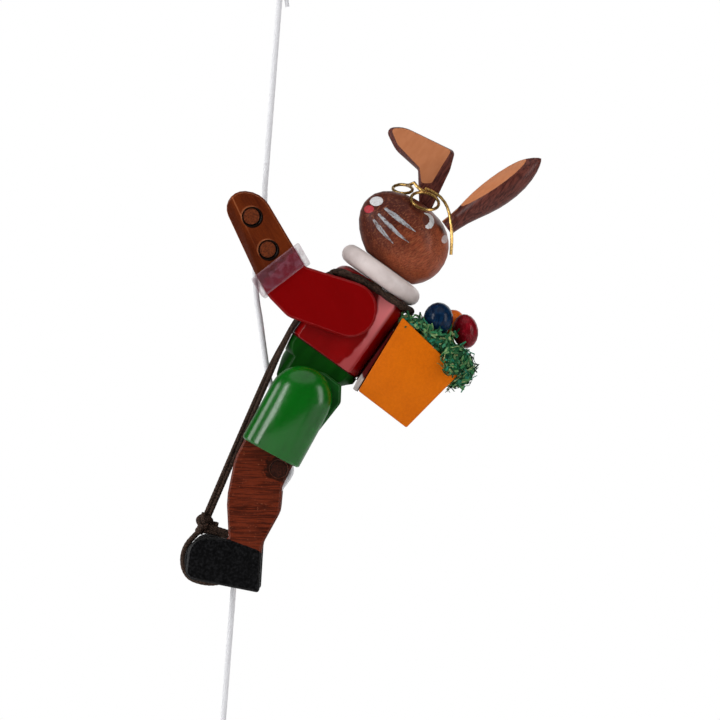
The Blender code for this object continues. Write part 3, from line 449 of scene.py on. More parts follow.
class Look:
    """A procedural material: constants sit on the shader's sockets, nodes add grain, wear and relief."""

    def __init__(self, name, roughness, shine=0.15, rounding=None, metal=0):
        self.material = bpy.data.materials.new(name)
        self.material.use_nodes = True
        self.tree = self.material.node_tree
        self.shader = self.tree.nodes["Principled BSDF"]
        constants = {"Roughness": roughness, "Specular IOR Level": shine, "Metallic": metal}
        for socket, value in constants.items():
            self.shader.inputs[socket].default_value = value
        self.place = self.vector("SCALE", self.add("TexCoord", {}).outputs["Object"], 1 / MM)
        self.rounded = self.soft_normal(rounding) if rounding else None

    def add(self, kind, inputs, **settings):
        made = self.tree.nodes.new("ShaderNode" + kind)
        for name, value in settings.items():
            setattr(made, name, value)
        for socket, value in inputs.items():
            self.feed(made.inputs[socket], value)
        return made

    def feed(self, socket, value):
        if isinstance(value, bpy.types.NodeSocket):
            self.tree.links.new(value, socket)
        elif socket.type == "RGBA" and len(value) == 3:
            socket.default_value = (*value, 1)
        else:
            socket.default_value = value

    def math(self, operation, a, b=0):
        return self.add("Math", {0: a, 1: b}, operation=operation).outputs[0]

    def plus(self, a, b):
        return self.math("ADD", a, b)

    def times(self, a, b):
        return self.math("MULTIPLY", a, b)

    def vector(self, operation, a, b):
        second = "Scale" if operation == "SCALE" else 1
        made = self.add("VectorMath", {0: a, second: b}, operation=operation)
        return made.outputs["Value" if operation == "DOT_PRODUCT" else "Vector"]

    def along(self, way, start):
        """Distance along a direction from a point, in millimetres."""
        way = Vector(way).normalized()
        reach = self.vector("DOT_PRODUCT", self.place, tuple(way))
        return self.math("SUBTRACT", reach, way.dot(Vector(start)))

    def off_pin(self, pins):
        """Distance from the nearest of some dowels that run along Y, in millimetres."""
        nearest = None
        for x, z in pins:
            flat = self.vector("MULTIPLY", self.vector("SUBTRACT", self.place, (x, 0, z)), (1, 0, 1))
            reach = self.add("VectorMath", {0: flat}, operation="LENGTH").outputs["Value"]
            nearest = reach if nearest is None else self.math("MINIMUM", nearest, reach)
        return nearest

    def noise(self, size, detail=3, rough=0.5, way=None, stretch=1, distort=0):
        """Noise with features of a size in millimetres, drawn out along a direction."""
        place = self.place
        if way is not None:
            spin = tuple(Vector(way).normalized().rotation_difference(Vector((1, 0, 0))).to_euler())
            turned = self.add("VectorRotate", {"Vector": place, "Rotation": spin}, rotation_type="EULER_XYZ")
            place = self.vector("MULTIPLY", turned.outputs[0], (1 / stretch, 1, 1))
        inputs = {
            "Vector": place, "Scale": 1 / size, "Detail": detail, "Roughness": rough, "Distortion": distort,
        }
        return self.add("TexNoise", inputs).outputs[0]

    def step(self, value, low, high, at_low=0, at_high=1):
        """Runs smoothly from one value to another between two limits."""
        inputs = {"Value": value, "From Min": low, "From Max": high, "To Min": at_low, "To Max": at_high}
        return self.add("MapRange", inputs, interpolation_type="SMOOTHSTEP").outputs[0]

    def clouds(self, size, detail=3, rough=0.5, way=None, stretch=1, low=0, high=1):
        """Soft clouds or streaks that run from one value to another."""
        return self.step(self.noise(size, detail, rough, way, stretch), 0.3, 0.7, low, high)

    def mix(self, share, a, b):
        return self.add("Mix", {0: share, 6: a, 7: b}, data_type="RGBA").outputs[2]

    def soft_normal(self, radius):
        return self.add("Bevel", {"Radius": radius * MM}, samples=6).outputs[0]

    def edges(self, radius=0.5, low=0.01, high=0.12):
        """1 within a radius of a sharp edge, 0 on the faces."""
        hard = self.add("NewGeometry", {}).outputs["Normal"]
        alike = self.vector("DOT_PRODUCT", self.soft_normal(radius), hard)
        return self.step(self.math("SUBTRACT", 1, alike), low, high)

    def rubbed(self, radius, size, start, low, high):
        """Where the edges are rubbed, more in some patches than in others."""
        patches = self.step(self.noise(size, 4, 0.6), start, 0.65, low, high)
        return self.times(self.edges(radius), patches)

    def colour(self, value):
        self.feed(self.shader.inputs["Base Color"], value)

    def rough(self, value):
        self.feed(self.shader.inputs["Roughness"], value)

    def rough_patches(self, low, high, size=0.8):
        self.rough(self.step(self.noise(size), 0.3, 0.8, low, high))

    def relief(self, height, depth):
        inputs = {"Height": height, "Distance": depth * MM, "Strength": 1}
        if self.rounded:
            inputs["Normal"] = self.rounded
        self.feed(self.shader.inputs["Normal"], self.add("Bump", inputs).outputs[0])

    def on(self, *objects):
        for thing in objects:
            thing.data.materials.clear()
            thing.data.materials.append(self.material)


def painted_wood(name, deep, bright, worn, grain_way, roughness, wear, gloss):
    """Lacquer over wood: slow colour drift, faint grain showing as relief, paler rubbed edges."""
    look = Look(name, roughness, gloss, rounding=0.35)
    body = look.mix(look.clouds(5, 4, 0.55, grain_way, 3), deep, bright)
    look.colour(look.mix(look.rubbed(0.3, 1.6, 0.35, wear * 0.3, wear), body, worn))
    look.rough_patches(roughness * 0.8, roughness * 1.2, 0.9)
    look.relief(look.noise(0.45, 3, 0.6, grain_way, 9), 0.01)
    return look


# The painted glare on the jacket, a painted reflection: middle and radius of the arc that bounds it
PAINTED_SHEEN_MIDDLE = (8.7, -86.7)
PAINTED_SHEEN_RADIUS = 22.1


def jacket_look():
    """Glossy red with a pale painted glare, a painted reflection, that lies behind the arm up to the flat's
    back edge.
    """
    look = Look("jacket_paint", 0.18, 0.5, rounding=0.35)
    drift = look.clouds(5, 4, 0.55, TORSO_DOWN, 3)
    body = look.mix(drift, (0.185, 0.0003, 0.0006), (0.225, 0.0006, 0.001))
    # Painted reflection: pale pink behind the arm's end, on the flat only, strongest near the collar
    reach = look.plus(look.off_pin([PAINTED_SHEEN_MIDDLE]), look.clouds(1.5, low=-0.2, high=0.2))
    out = look.along(TORSO_OUT, COLLAR_MIDDLE / MM)
    painted_glare = look.step(reach, PAINTED_SHEEN_RADIUS - 0.3, PAINTED_SHEEN_RADIUS + 0.5)
    painted_glare = look.times(painted_glare, look.step(out, 7, 8.2, 1, 0))
    high = look.step(look.along(TORSO_DOWN, COLLAR_MIDDLE / MM), 8, 21, 1, 0.22)
    body = look.mix(look.times(painted_glare, high), body, (0.92, 0.25, 0.26))
    # Painted light: the round back beyond the flat is lightened against its shade
    body = look.mix(look.step(out, 8.6, 9.8, 0, 0.8), body, (0.4, 0.003, 0.006))
    # Paler rubbed edges: partly wear, partly a painted highlight along the flat's corner
    look.colour(look.mix(look.rubbed(0.3, 1.6, 0.35, 0.1, 0.5), body, (0.5, 0.12, 0.12)))
    look.rough_patches(0.14, 0.22, 0.9)
    look.relief(look.noise(0.45, 3, 0.6, TORSO_DOWN, 9), 0.006)
    return look


# On the arm and leg boards: end of the sleeve's paint, cross grain, painted shade in the holes, and the
# hand's facet with its painted shade and highlight
PAINT_LINE_WAY = (0.805, 0, -0.591)
PAINT_LINE_PLACE = (5.05, 0, -81.9)
LEG_ACROSS = (0.997, 0, 0.05)
HOLE_SHADE = (0.006, 0.002, 0.001)
FACET_WAY = (0.498, 0, -0.867)
FACET_ACROSS = (0.867, 0, 0.498)
FACET_START = (-7.5, 0, -65.5)


def arm_look():
    """Brown hand and red sleeve on one board, parted under the wrist band."""
    way = (0.58, 0, -0.81)
    look = Look("arm_paint", 0.3, 0.12, rounding=0.35)
    drift = look.clouds(3.5, 5, 0.6, way, 4)
    grain = look.clouds(0.5, 4, 0.65, way, 8)
    hand = look.mix(drift, (0.058, 0.008, 0.002), (0.105, 0.017, 0.003))
    hand = look.mix(look.times(grain, 0.35), hand, (0.15, 0.028, 0.006))
    # The hand's facet: painted shade on the chamfer beside it and a painted highlight along its ridge
    across = look.along(FACET_ACROSS, FACET_START)
    along = look.along(FACET_WAY, FACET_START)
    ridge = look.step(look.math("ABSOLUTE", across), 0.05, 0.25, 1, 0)
    ridge = look.times(ridge, look.step(along, 4, 11, 0.4, 0.05))
    hand = look.mix(look.step(across, -1.3, -0.2, 0.5, 0), hand, (0.03, 0.005, 0.002))
    hand = look.mix(look.times(ridge, look.step(along, -3, -1)), hand, (0.4, 0.13, 0.05))
    sleeve = look.mix(drift, (0.168, 0.0001, 0.0005), (0.18, 0.0002, 0.0008))
    wander = look.step(look.noise(2.2), 0.2, 0.8, -0.9, 0.9)
    is_sleeve = look.step(look.plus(look.along(PAINT_LINE_WAY, PAINT_LINE_PLACE), wander), -0.5, 0.5)
    worn = look.mix(is_sleeve, (0.55, 0.2, 0.08), (0.45, 0.05, 0.05))
    body = look.mix(look.rubbed(0.35, 1.2, 0.3, 0.3, 0.8), look.mix(is_sleeve, hand, sleeve), worn)
    # Round each dowel's hole: a painted highlight on the upper left of its rim, painted shade on its lower
    # right
    rims = look.off_pin([(x - 0.12, z + 0.08) for x, z in HAND_PINS])
    body = look.mix(look.step(rims, 2.5, 2.75, 0.5, 0), body, (0.3, 0.09, 0.035))
    shades = look.off_pin([(x + 0.3, z - 0.2) for x, z in HAND_PINS])
    look.colour(look.mix(look.step(shades, 2.55, 2.75, 1, 0), body, HOLE_SHADE))
    look.rough_patches(0.2, 0.28)
    look.relief(grain, 0.005)
    return look


def leg_look():
    """Green seat, red-brown calf with cross grain, and a black shoe, all on one board."""
    look = Look("leg_paint", 0.35, 0.12, rounding=0.4)
    grain = look.noise(0.3, 4, 0.6, LEG_ACROSS, 18)
    drift = look.clouds(4, 4, 0.6, LEG_ACROSS, 3)
    calf = look.mix(look.step(grain, 0.4, 0.6), (0.028, 0.0035, 0.0012), (0.122, 0.017, 0.0052))
    calf = look.mix(look.times(drift, 0.3), calf, (0.15, 0.026, 0.01))
    flecks = look.step(look.noise(0.5, 2), 0.68, 0.74)
    calf = look.mix(look.times(flecks, 0.5), calf, (0.3, 0.09, 0.045))
    near_knee = look.plus(look.off_pin([KNEE_PIN]), look.clouds(1.4, low=-1.1, high=0.8))
    calf = look.mix(look.step(near_knee, 2.7, 3.6, 0.9, 0), calf, (0.016, 0.004, 0.002))
    scuffs = look.step(look.noise(0.7, 4, 0.65), 0.42, 0.68)
    shoe = look.mix(scuffs, (0.001, 0.001, 0.0012), (0.009, 0.009, 0.01))
    seat = look.mix(drift, (0.002, 0.035, 0.003), (0.004, 0.06, 0.006))
    wander = look.step(look.noise(2.6, 2), 0.2, 0.8, -0.25, 0.25)
    down_shoe = look.along((-0.305, 0, -0.952), HIP + Vector((-11, 0, -37.8)))
    is_shoe = look.step(look.plus(down_shoe, wander), -0.12, 0.12)
    up_seat = look.along((0.412, 0, 0.911), HIP + Vector((-6.2, 0, -14.4)))
    is_seat = look.step(look.plus(up_seat, wander), -0.12, 0.12)
    body = look.mix(is_seat, look.mix(is_shoe, calf, shoe), seat)
    # The rubbed shoe edge is paler at the toe as a painted highlight
    toe = look.step(look.along((1, 0, 0), (-9.5, 0, 0)), -1, 1)
    shoe_wear_with_toe_highlight = look.mix(toe, (0.16, 0.16, 0.16), (0.02, 0.015, 0.012))
    worn = look.mix(is_shoe, look.mix(is_seat, (0.3, 0.1, 0.06), (0.1, 0.22, 0.11)), shoe_wear_with_toe_highlight)
    look.colour(look.mix(look.rubbed(0.35, 1, 0.3, 0.2, 0.65), body, worn))
    look.rough_patches(0.28, 0.42)
    look.relief(grain, 0.03)
    return look


def head_look():
    """Brown stain on turned wood: fine grain and pale streaks, and paler towards the lower back."""
    look = Look("head_stain", 0.36, 0.12, rounding=0.2)
    way = (0.75, 0.1, 0.65)
    wander = look.step(look.noise(3.5, 4, 0.6), 0.2, 0.8, -4, 4)
    drift = look.plus(look.along((0.62, 0, -0.78), (35.8, 0, -71.7)), wander)
    body = look.mix(look.step(drift, -7, 9.5), (0.066, 0.012, 0.007), (0.31, 0.07, 0.029))
    grain = look.noise(0.24, 4, 0.6, way, 7, 0.3)
    body = look.mix(look.step(grain, 0.4, 0.64, 0, 0.6), body, (0.03, 0.006, 0.0025))
    pale = look.step(look.noise(0.38, 4, 0.6, way, 3), 0.5, 0.68, 0, 0.4)
    look.colour(look.mix(pale, body, (0.36, 0.12, 0.05)))
    look.rough_patches(0.3, 0.42, 0.9)
    look.relief(grain, 0.02)
    return look


def ear_look(name, face_way, rim):
    """Dark brown ear with a bare tan face inside a dark rim."""
    look = Look(name, 0.36, 0.2, rounding=0.15)
    way = (0.5, 0, 0.85)
    grain = look.noise(0.4, 4, 0.6, way, 7)
    brown = look.mix(look.step(grain, 0.35, 0.65), (0.045, 0.01, 0.008), (0.13, 0.034, 0.024))
    tan = look.mix(look.clouds(1.2, 3, 0.5, way, 2), (0.42, 0.15, 0.062), (0.46, 0.172, 0.074))
    facing = look.add(
        "VectorTransform", {"Vector": look.add("NewGeometry", {}).outputs["True Normal"]},
        vector_type="NORMAL", convert_from="WORLD", convert_to="OBJECT",
    )
    alike = look.vector("DOT_PRODUCT", facing.outputs[0], tuple(Vector(face_way).normalized()))
    inside = look.math("SUBTRACT", 1, look.edges(rim, 0.002, 0.02))
    look.colour(look.mix(look.times(look.step(alike, 0.985, 0.992), inside), brown, tan))
    look.relief(grain, 0.012)
    return look


def plain_wood_look(name, deep, bright, way):
    look = Look(name, 0.55, rounding=0.2)
    grain = look.noise(0.6, 5, 0.62, way, 12)
    look.colour(look.mix(look.step(grain, 0.33, 0.67), deep, bright))
    look.rough_patches(0.44, 0.6875)
    look.relief(grain, 0.03)
    return look


def basket_look():
    """Orange stain with a slow drift, a faint mottle and a few dark pores."""
    look = Look("basket_stain", 0.45, 0.08, rounding=0.25)
    mottle = look.clouds(0.6, 5, 0.7)
    body = look.mix(mottle, (0.52, 0.105, 0.0003), (0.6, 0.128, 0.0006))
    cloud = look.step(look.noise(6), 0.35, 0.7, 0, 0.3)
    body = look.mix(cloud, body, (0.66, 0.15, 0.001))
    pores = look.step(look.noise(0.5, 2), 0.7, 0.78, 0, 0.35)
    look.colour(look.mix(pores, body, (0.3, 0.05, 0.001)))
    look.rough_patches(0.38, 0.5)
    look.relief(mottle, 0.008)
    return look


def spacer_look():
    """Strip between jacket and basket: dark red as painted shade down to its pale bare lower end."""
    look = Look("spacer_wood", 0.5)
    line = look.plus(look.along(TORSO_DOWN, COLLAR_MIDDLE / MM), look.clouds(1.5, low=-0.6, high=0.6))
    grain = look.noise(0.5, 4, 0.6, TORSO_DOWN, 8)
    bare = look.mix(look.step(grain, 0.3, 0.7), (0.34, 0.31, 0.3), (0.52, 0.49, 0.48))
    # Painted shade: dark red down to the bare lower end
    look.colour(look.mix(look.step(line, 22.6, 23.6), (0.08, 0.002, 0.002), bare))
    look.relief(grain, 0.03)
    return look


def glue_look():
    """Brown glue round the hand's dowels, in deep shade on its lower back side."""
    look = Look("hole_glue", 0.5)
    shade = look.step(look.off_pin([(x - 0.4, z + 0.27) for x, z in HAND_PINS]), 1.95, 2.35)
    brown = look.mix(look.noise(0.5), (0.05, 0.01, 0.003), (0.1, 0.022, 0.006))
    look.colour(look.mix(shade, brown, HOLE_SHADE))
    look.relief(look.noise(0.4), 0.02)
    return look


def pin_look(name, deep, bright):
    """Stained end grain: rings and open pores."""
    look = Look(name, 0.4, rounding=0.2)
    pores = look.noise(0.45, 3, 0.7)
    body = look.mix(look.step(pores, 0.35, 0.66), deep, bright)
    look.colour(look.mix(look.times(look.edges(0.25), 0.5), body, deep))
    look.relief(pores, 0.05)
    return look


def collar_look():
    look = Look("collar_paint", 0.34, 0.35)
    body = look.mix(look.clouds(3, 4, 0.6), (0.53, 0.455, 0.435), (0.61, 0.53, 0.51))
    grime = look.step(look.noise(1.2, 4, 0.7), 0.6, 0.78, 0, 0.2)
    look.colour(look.mix(grime, body, (0.45, 0.33, 0.3)))
    look.relief(look.noise(0.9), 0.012)
    return look


def egg_look(name, deep, bright, brushed=0.02):
    """Brushed paint: fine strokes round the egg and a satin sheen."""
    look = Look(name, 0.3)
    strokes = look.noise(0.35, 4, 0.6, (0.15, 0.1, 1), 5)
    cloud = look.step(look.noise(1.6, 5, 0.65), 0.35, 0.65)
    look.colour(look.mix(look.times(look.step(strokes, 0.3, 0.7), cloud), deep, bright))
    look.rough(look.step(look.noise(0.7), 0.4, 0.8, 0.2, 0.3))
    look.relief(strokes, brushed)
    return look


def band_look():
    """Clear mauve film scuffed to a haze, milkier along its edges."""
    look = Look("band_plastic", 0.25, 0.4)
    haze = look.step(look.noise(1.6, 4, 0.6), 0.35, 0.7)
    rims = look.edges(0.22)
    film = look.mix(haze, (0.15, 0.045, 0.072), (0.24, 0.105, 0.14))
    look.colour(look.mix(rims, film, (0.6, 0.42, 0.44)))
    veil = look.plus(look.step(haze, 0, 1, 0.18, 0.36), look.times(rims, 0.4))
    look.feed(look.shader.inputs["Alpha"], veil)
    look.rough(look.step(look.noise(0.8, 3, 0.6), 0.35, 0.75, 0.15, 0.3))
    look.relief(look.noise(0.6, 3, 0.6), 0.004)
    return look


def brass_look():
    look = Look("brass_wire", 0.3, 0.4, metal=0.95)
    tarnish = look.step(look.noise(0.9, 4, 0.65), 0.4, 0.7)
    look.colour(look.mix(tarnish, (0.46, 0.29, 0.09), (0.26, 0.14, 0.04)))
    look.rough_patches(0.26, 0.38, 0.5)
    look.relief(look.noise(0.35, 2), 0.006)
    return look


def cord_look(name, deep, bright, fibre=0.12, depth=0.05):
    look = Look(name, 0.8)
    fuzz = look.noise(fibre, 4, 0.7)
    look.colour(look.mix(look.step(fuzz, 0.37, 0.63), deep, bright))
    look.relief(fuzz, depth)
    return look


def grass_look():
    """Dyed shavings: each blade takes its own green, from nearly black to straw."""
    look = Look("grass_dye", 0.6)
    ramp = look.add("ValToRGB", {"Fac": look.add("NewGeometry", {}).outputs["Random Per Island"]})
    stops = ramp.color_ramp.elements
    stops[0].color = (0.004, 0.03, 0.012, 1)
    stops[1].color = (0.32, 0.34, 0.14, 1)
    shades = {
        0.2: (0.008, 0.08, 0.025), 0.4: (0.025, 0.16, 0.05), 0.55: (0.012, 0.18, 0.11),
        0.7: (0.07, 0.2, 0.06), 0.85: (0.15, 0.28, 0.11),
    }
    for position, shade in shades.items():
        stops.new(position).color = (*shade, 1)
    fibres = look.noise(0.18, 3, 0.6)
    look.colour(look.mix(look.step(fibres, 0.4, 0.7, 0, 0.4), ramp.outputs[0], (0.008, 0.06, 0.025)))
    look.relief(fibres, 0.03)
    return look


def paint_look(name, colour, dirt, dryness=0.6):
    look = Look(name, 0.4)
    patchy = look.step(look.noise(0.6, 4, 0.7, (0.77, 0, -0.64), 2.5), 0.4, 0.65)
    look.colour(look.mix(look.times(patchy, dryness), colour, dirt))
    look.relief(look.noise(0.3), 0.02)
    return look


# Spectacle rings as (middle, half width, half height, first and last degrees of the stretch that closes each)
NEAR_LENS = (Vector((40.45, -4.35, -62.15)), Vector((3.55, 0.9, -0.6)), Vector((0.3, 2.8, 2.15)), 48, 97)
FAR_LENS = (Vector((34.7, 4.6, -59.2)), Vector((2.5, -1.3, -0.1)), Vector((0.1, 2.5, 1.2)), 62, 124)
WIRE = 0.8 * MM


def plain_round(angle, distance):
    return 1


def close_rings(brass):
    """The end of each wound ring laps over its start."""
    for name, (middle, across, upwards, first, last) in (("near", NEAR_LENS), ("far", FAR_LENS)):
        points = []
        for i in range(9):
            angle = math.radians(first + (last - first) * i / 8)
            points.append((middle + across * math.cos(angle) + upwards * math.sin(angle)) * MM)
        lap = fixed_cord("wire_lap_" + name, points, WIRE, plain_round, WIRE_SIDES, "torso")
        brass.on(lap)


# Painted face


def surface_point(tree, x, z, side, lift):
    """The point of a surface met from one side at (x, z) in millimetres, lifted off it."""
    start = Vector((x, side * 60, z)) * MM
    place, normal, index, distance = tree.ray_cast(start, Vector((0, -side, 0)))
    return place + normal * lift


def stroke(name, tree, line, widths, side, look, lift=0.05 * MM):
    """A brush stroke on the head: a strip along a line of (x, z), with a width at each of its points."""
    steps = 14
    columns = 6
    path = [Vector((x, z)) for x, z in line]
    verts = []
    for i in range(steps + 1):
        t = i / steps * (len(path) - 1)
        index = min(int(t), len(path) - 2)
        share = t - index
        here = path[index].lerp(path[index + 1], share)
        way = (path[index + 1] - path[index]).normalized()
        across = Vector((-way.y, way.x))
        width = widths[index] * (1 - share) + widths[index + 1] * share
        for k in range(columns + 1):
            spot = here + across * width * (k / columns - 0.5)
            edge = 1 - abs(2 * k / columns - 1) ** 3
            verts.append(surface_point(tree, spot.x, spot.y, side, lift * (0.2 + 0.8 * edge)))
    made = make_object(name, verts, quads(steps + 1, columns + 1, closed=False))
    settle(made, "torso", look)


def dab(name, tree, middle, across, upwards, side, look, lift=0.03 * MM):
    """A round dab of paint on the head, an oval given by two half axes in (x, z)."""
    rings = 5
    around = 24
    verts = [surface_point(tree, *middle, side, lift)]
    faces = []
    for ring in range(1, rings + 1):
        share = ring / rings
        for k in range(around):
            angle = 2 * math.pi * k / around
            x = middle[0] + share * (across[0] * math.cos(angle) + upwards[0] * math.sin(angle))
            z = middle[1] + share * (across[1] * math.cos(angle) + upwards[1] * math.sin(angle))
            verts.append(surface_point(tree, x, z, side, lift * (1 if ring < rings else 0.1)))
    for k in range(around):
        after = (k + 1) % around
        faces.append((0, 1 + k, 1 + after))
        for ring in range(1, rings):
            a = 1 + (ring - 1) * around
            b = 1 + ring * around
            faces.append((a + k, b + k, b + after, a + after))
    settle(make_object(name, verts, faces), "torso", look)


WHISKERS = (
    ([(30.5, -64.8), (33.3, -66.7), (36.3, -68.7), (38.7, -70.2)], [0.6, 1.35, 0.9, 0.15]),
    ([(29, -66.4), (31.8, -68.9), (34.5, -71.2), (37.2, -73)], [0.5, 1.1, 0.8, 0.15]),
    ([(27.9, -67.9), (29.4, -69.7), (31.4, -71.8), (33.3, -73.5)], [0.5, 1.1, 0.8, 0.15]),
)
EYE_CRESCENT = [(40.4, -65.2), (41.6, -65.5), (42.45, -66.4), (42.5, -67.6), (41.9, -68.6), (41, -68.7)]


def paint_face():
    tree = BVHTree.FromObject(node["head"], bpy.context.evaluated_depsgraph_get())
    white = paint_look("face_white", (0.56, 0.56, 0.57), (0.4, 0.36, 0.35))
    grey = paint_look("face_grey", (0.33, 0.34, 0.36), (0.07, 0.03, 0.025), 0.9)
    red = paint_look("face_red", (0.38, 0.012, 0.025), (0.3, 0.08, 0.08))
    dark = paint_look("face_dark", (0.075, 0.02, 0.014), (0.1, 0.026, 0.014))
    smear = paint_look("face_smear", (0.5, 0.4, 0.39), (0.2, 0.09, 0.07))
    for side, label in ((-1, "left"), (1, "right")):
        dab("nose_" + label, tree, (28.3, -63.2), (1.65, 0.3), (-0.2, 1.2), side, white, 0.07 * MM)
        dab("mouth_" + label, tree, (26.6, -65.3), (1.2, 0.3), (-0.3, 0.95), side, red)
        for number, (line, widths) in enumerate(WHISKERS, 1):
            stroke(f"whisker_{label}_{number}", tree, line, widths, side, grey)
        dab("eye_" + label, tree, (41.3, -66.9), (1.15, 0.1), (-0.1, 1.45), side, dark)
        widths = [0.15, 0.7, 1.1, 1.4, 1.4, 0.5]
        stroke("eye_white_" + label, tree, EYE_CRESCENT, widths, side, white, 0.09 * MM)
        dab("cheek_" + label, tree, (46.15, -71.3), (0.75, -0.3), (0.35, 1.05), side, smear)


# Shavings in the basket

NEAR_RIM = (Vector((38, -9.3, -91.5)), Vector((48.5, -9.3, -97.8)))
OVERHANG_MIDDLE = Vector((51.2, -9.9, -101.4))
OVERHANG_HALF = Vector((4, 1.3, 4.6))


def shaving(verts, faces, start, way, normal, length, width, curl, rng):
    """One curled blade of wood shaving."""
    steps = 6
    heading = way.normalized()
    lift = normal.normalized()
    here = start.copy()
    faces += quads(steps + 1, 2, len(verts), closed=False)
    for i in range(steps + 1):
        side = heading.cross(lift).normalized()
        taper = 0.7 + 0.3 * math.sin(math.pi * (i + 0.5) / (steps + 1))
        verts.append(here + side * width * taper / 2)
        verts.append(here - side * width * taper / 2)
        bend = Matrix.Rotation(curl / steps, 3, side)
        swerve = Matrix.Rotation(rng.uniform(-0.2, 0.2), 3, lift)
        heading = swerve @ bend @ heading
        lift = bend @ lift
        here = here + heading * length / steps


def any_way(rng):
    return Vector((rng.gauss(0, 1), rng.gauss(0, 1), rng.gauss(0, 1)))


def towards_viewer(rng):
    """A direction out of the near side and a little up."""
    return Vector((rng.gauss(0, 0.4), -1, rng.gauss(0.2, 0.4))).normalized()


def places_on_clump(mesh, count, rng):
    """Random places on a mesh, spread by area, each with the normal there."""
    mesh.calc_loop_triangles()
    triangles = []
    for tri in mesh.loop_triangles:
        corners = [mesh.vertices[i].co.copy() for i in tri.vertices]
        triangles.append((tri.area, corners, tri.normal.copy()))
    picks = rng.choices(triangles, weights=[area for area, corners, normal in triangles], k=count)
    places = []
    for area, corners, normal in picks:
        u = rng.random() ** 0.5
        v = rng.random()
        places.append((corners[0] * (1 - u) + corners[1] * u * (1 - v) + corners[2] * u * v, normal))
    return places


def places_on_rim(count, rng):
    """Places along the near rim of the basket, a thin line of shavings that widens to the back."""
    places = []
    for i in range(count):
        share = rng.random() ** 0.8
        spread = (0.2 + 0.9 * share) * MM
        normal = towards_viewer(rng)
        scatter = Vector((rng.gauss(0, 1), rng.uniform(-0.6, 0.6), rng.gauss(0, 1))) * spread
        places.append((NEAR_RIM[0].lerp(NEAR_RIM[1], share) * MM + scatter, normal))
    return places


def to_either_side(rng):
    return Vector((rng.gauss(0, 0.5), rng.choice((-1, 1)), rng.gauss(0.3, 0.4))).normalized()


def places_in_nook(count, rng, x, y, z, facing):
    """Places in a small nook: x and z as middle and spread, y as both ends, in millimetres."""
    places = []
    for i in range(count):
        spot = Vector((rng.gauss(*x), rng.uniform(*y), rng.gauss(*z))) * MM
        places.append((spot, facing(rng)))
    return places


def places_on_overhang(count, rng):
    """Places on the tuft that hangs over the back corner of the near side."""
    places = []
    for i in range(count):
        around = rng.uniform(0, 2 * math.pi)
        reach = rng.random() ** 0.6
        out = math.sqrt(max(0, 1 - reach**2))
        way = Vector((reach * math.cos(around), -out, reach * math.sin(around)))
        middle = OVERHANG_MIDDLE + Vector([h * w for h, w in zip(OVERHANG_HALF, way)])
        places.append((middle * MM, way.normalized()))
    return places


def make_grass():
    rng = random.Random(11)
    mesh = node["grass"].data
    places = places_on_clump(mesh, 1300, rng) + places_on_rim(125, rng) + places_on_overhang(330, rng)
    behind_jacket = ((37.3, 0.35), (-4.5, 4.5), (-91.2, 0.3), to_either_side)
    before_orange_egg = ((49.3, 0.7), (-6, -2.5), (-95.4, 0.9), towards_viewer)
    places += places_in_nook(50, rng, *behind_jacket) + places_in_nook(45, rng, *before_orange_egg)
    elastic_end = torso_point(2.6, 11.6)
    verts = []
    faces = []
    for spot, normal in places:
        if math.hypot(spot.x - elastic_end.x, spot.z - elastic_end.z) < 2.4 * MM:
            continue
        flat = any_way(rng)
        way = (flat - normal * flat.dot(normal)).normalized() + normal * rng.uniform(-0.1, 0.3)
        tipped = (normal + any_way(rng) * 0.25).normalized()
        start = spot - normal * rng.uniform(0, 0.8) * MM
        length = rng.uniform(1.1, 2.6) * MM
        width = rng.uniform(0.4, 0.8) * MM
        shaving(verts, faces, start, way, tipped, length, width, rng.uniform(-1.8, 0.5), rng)
    made = make_object("grass_shavings", verts, faces)
    core_faces = [tuple(polygon.vertices) for polygon in mesh.polygons]
    core = make_object("grass_core", [v.co for v in mesh.vertices], core_faces)
    shrink = core.modifiers.new("set_back", "DISPLACE")
    shrink.strength = -0.6 * MM
    shrink.mid_level = 0
    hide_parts("grass")
    look = grass_look()
    for piece in (made, core):
        settle(piece, "torso", look)


# Small fillings


def torso_section(down, inset):
    """Outline of the torso at a distance down its axis: a round with two flats."""
    steps = 16
    radius = TORSO_RADIUS - inset
    corner = math.asin((BODY_HALF - inset) / radius)
    points = []
    for side in (1, -1):
        for i in range(steps + 1):
            angle = -corner + 2 * corner * i / steps
            points.append(torso_point(down, side * radius * math.cos(angle), side * radius * math.sin(angle)))
    return points


def prism(name, low, high):
    """A closed solid between two outlines with the same number of points."""
    count = len(low)
    faces = [tuple(range(count)), tuple(range(2 * count - 1, count - 1, -1))]
    for i in range(count):
        after = (i + 1) % count
        faces.append((i, i + count, after + count, after))
    return make_object(name, list(low) + list(high), faces, smooth=False)


def ring(name, middle, y_from, y_to):
    """A flat ring in the gap round a dowel that runs along Y."""
    steps = 40
    inner = 2.03
    outer = 2.37
    verts = []
    for radius, y in ((inner, y_from), (outer, y_from), (outer, y_to), (inner, y_to)):
        for i in range(steps):
            angle = 2 * math.pi * i / steps
            verts.append((middle[0] + radius * math.cos(angle), y, middle[1] + radius * math.sin(angle)))
    return make_object(name, in_mm(verts), quads(4, steps, looped=True), smooth=False)


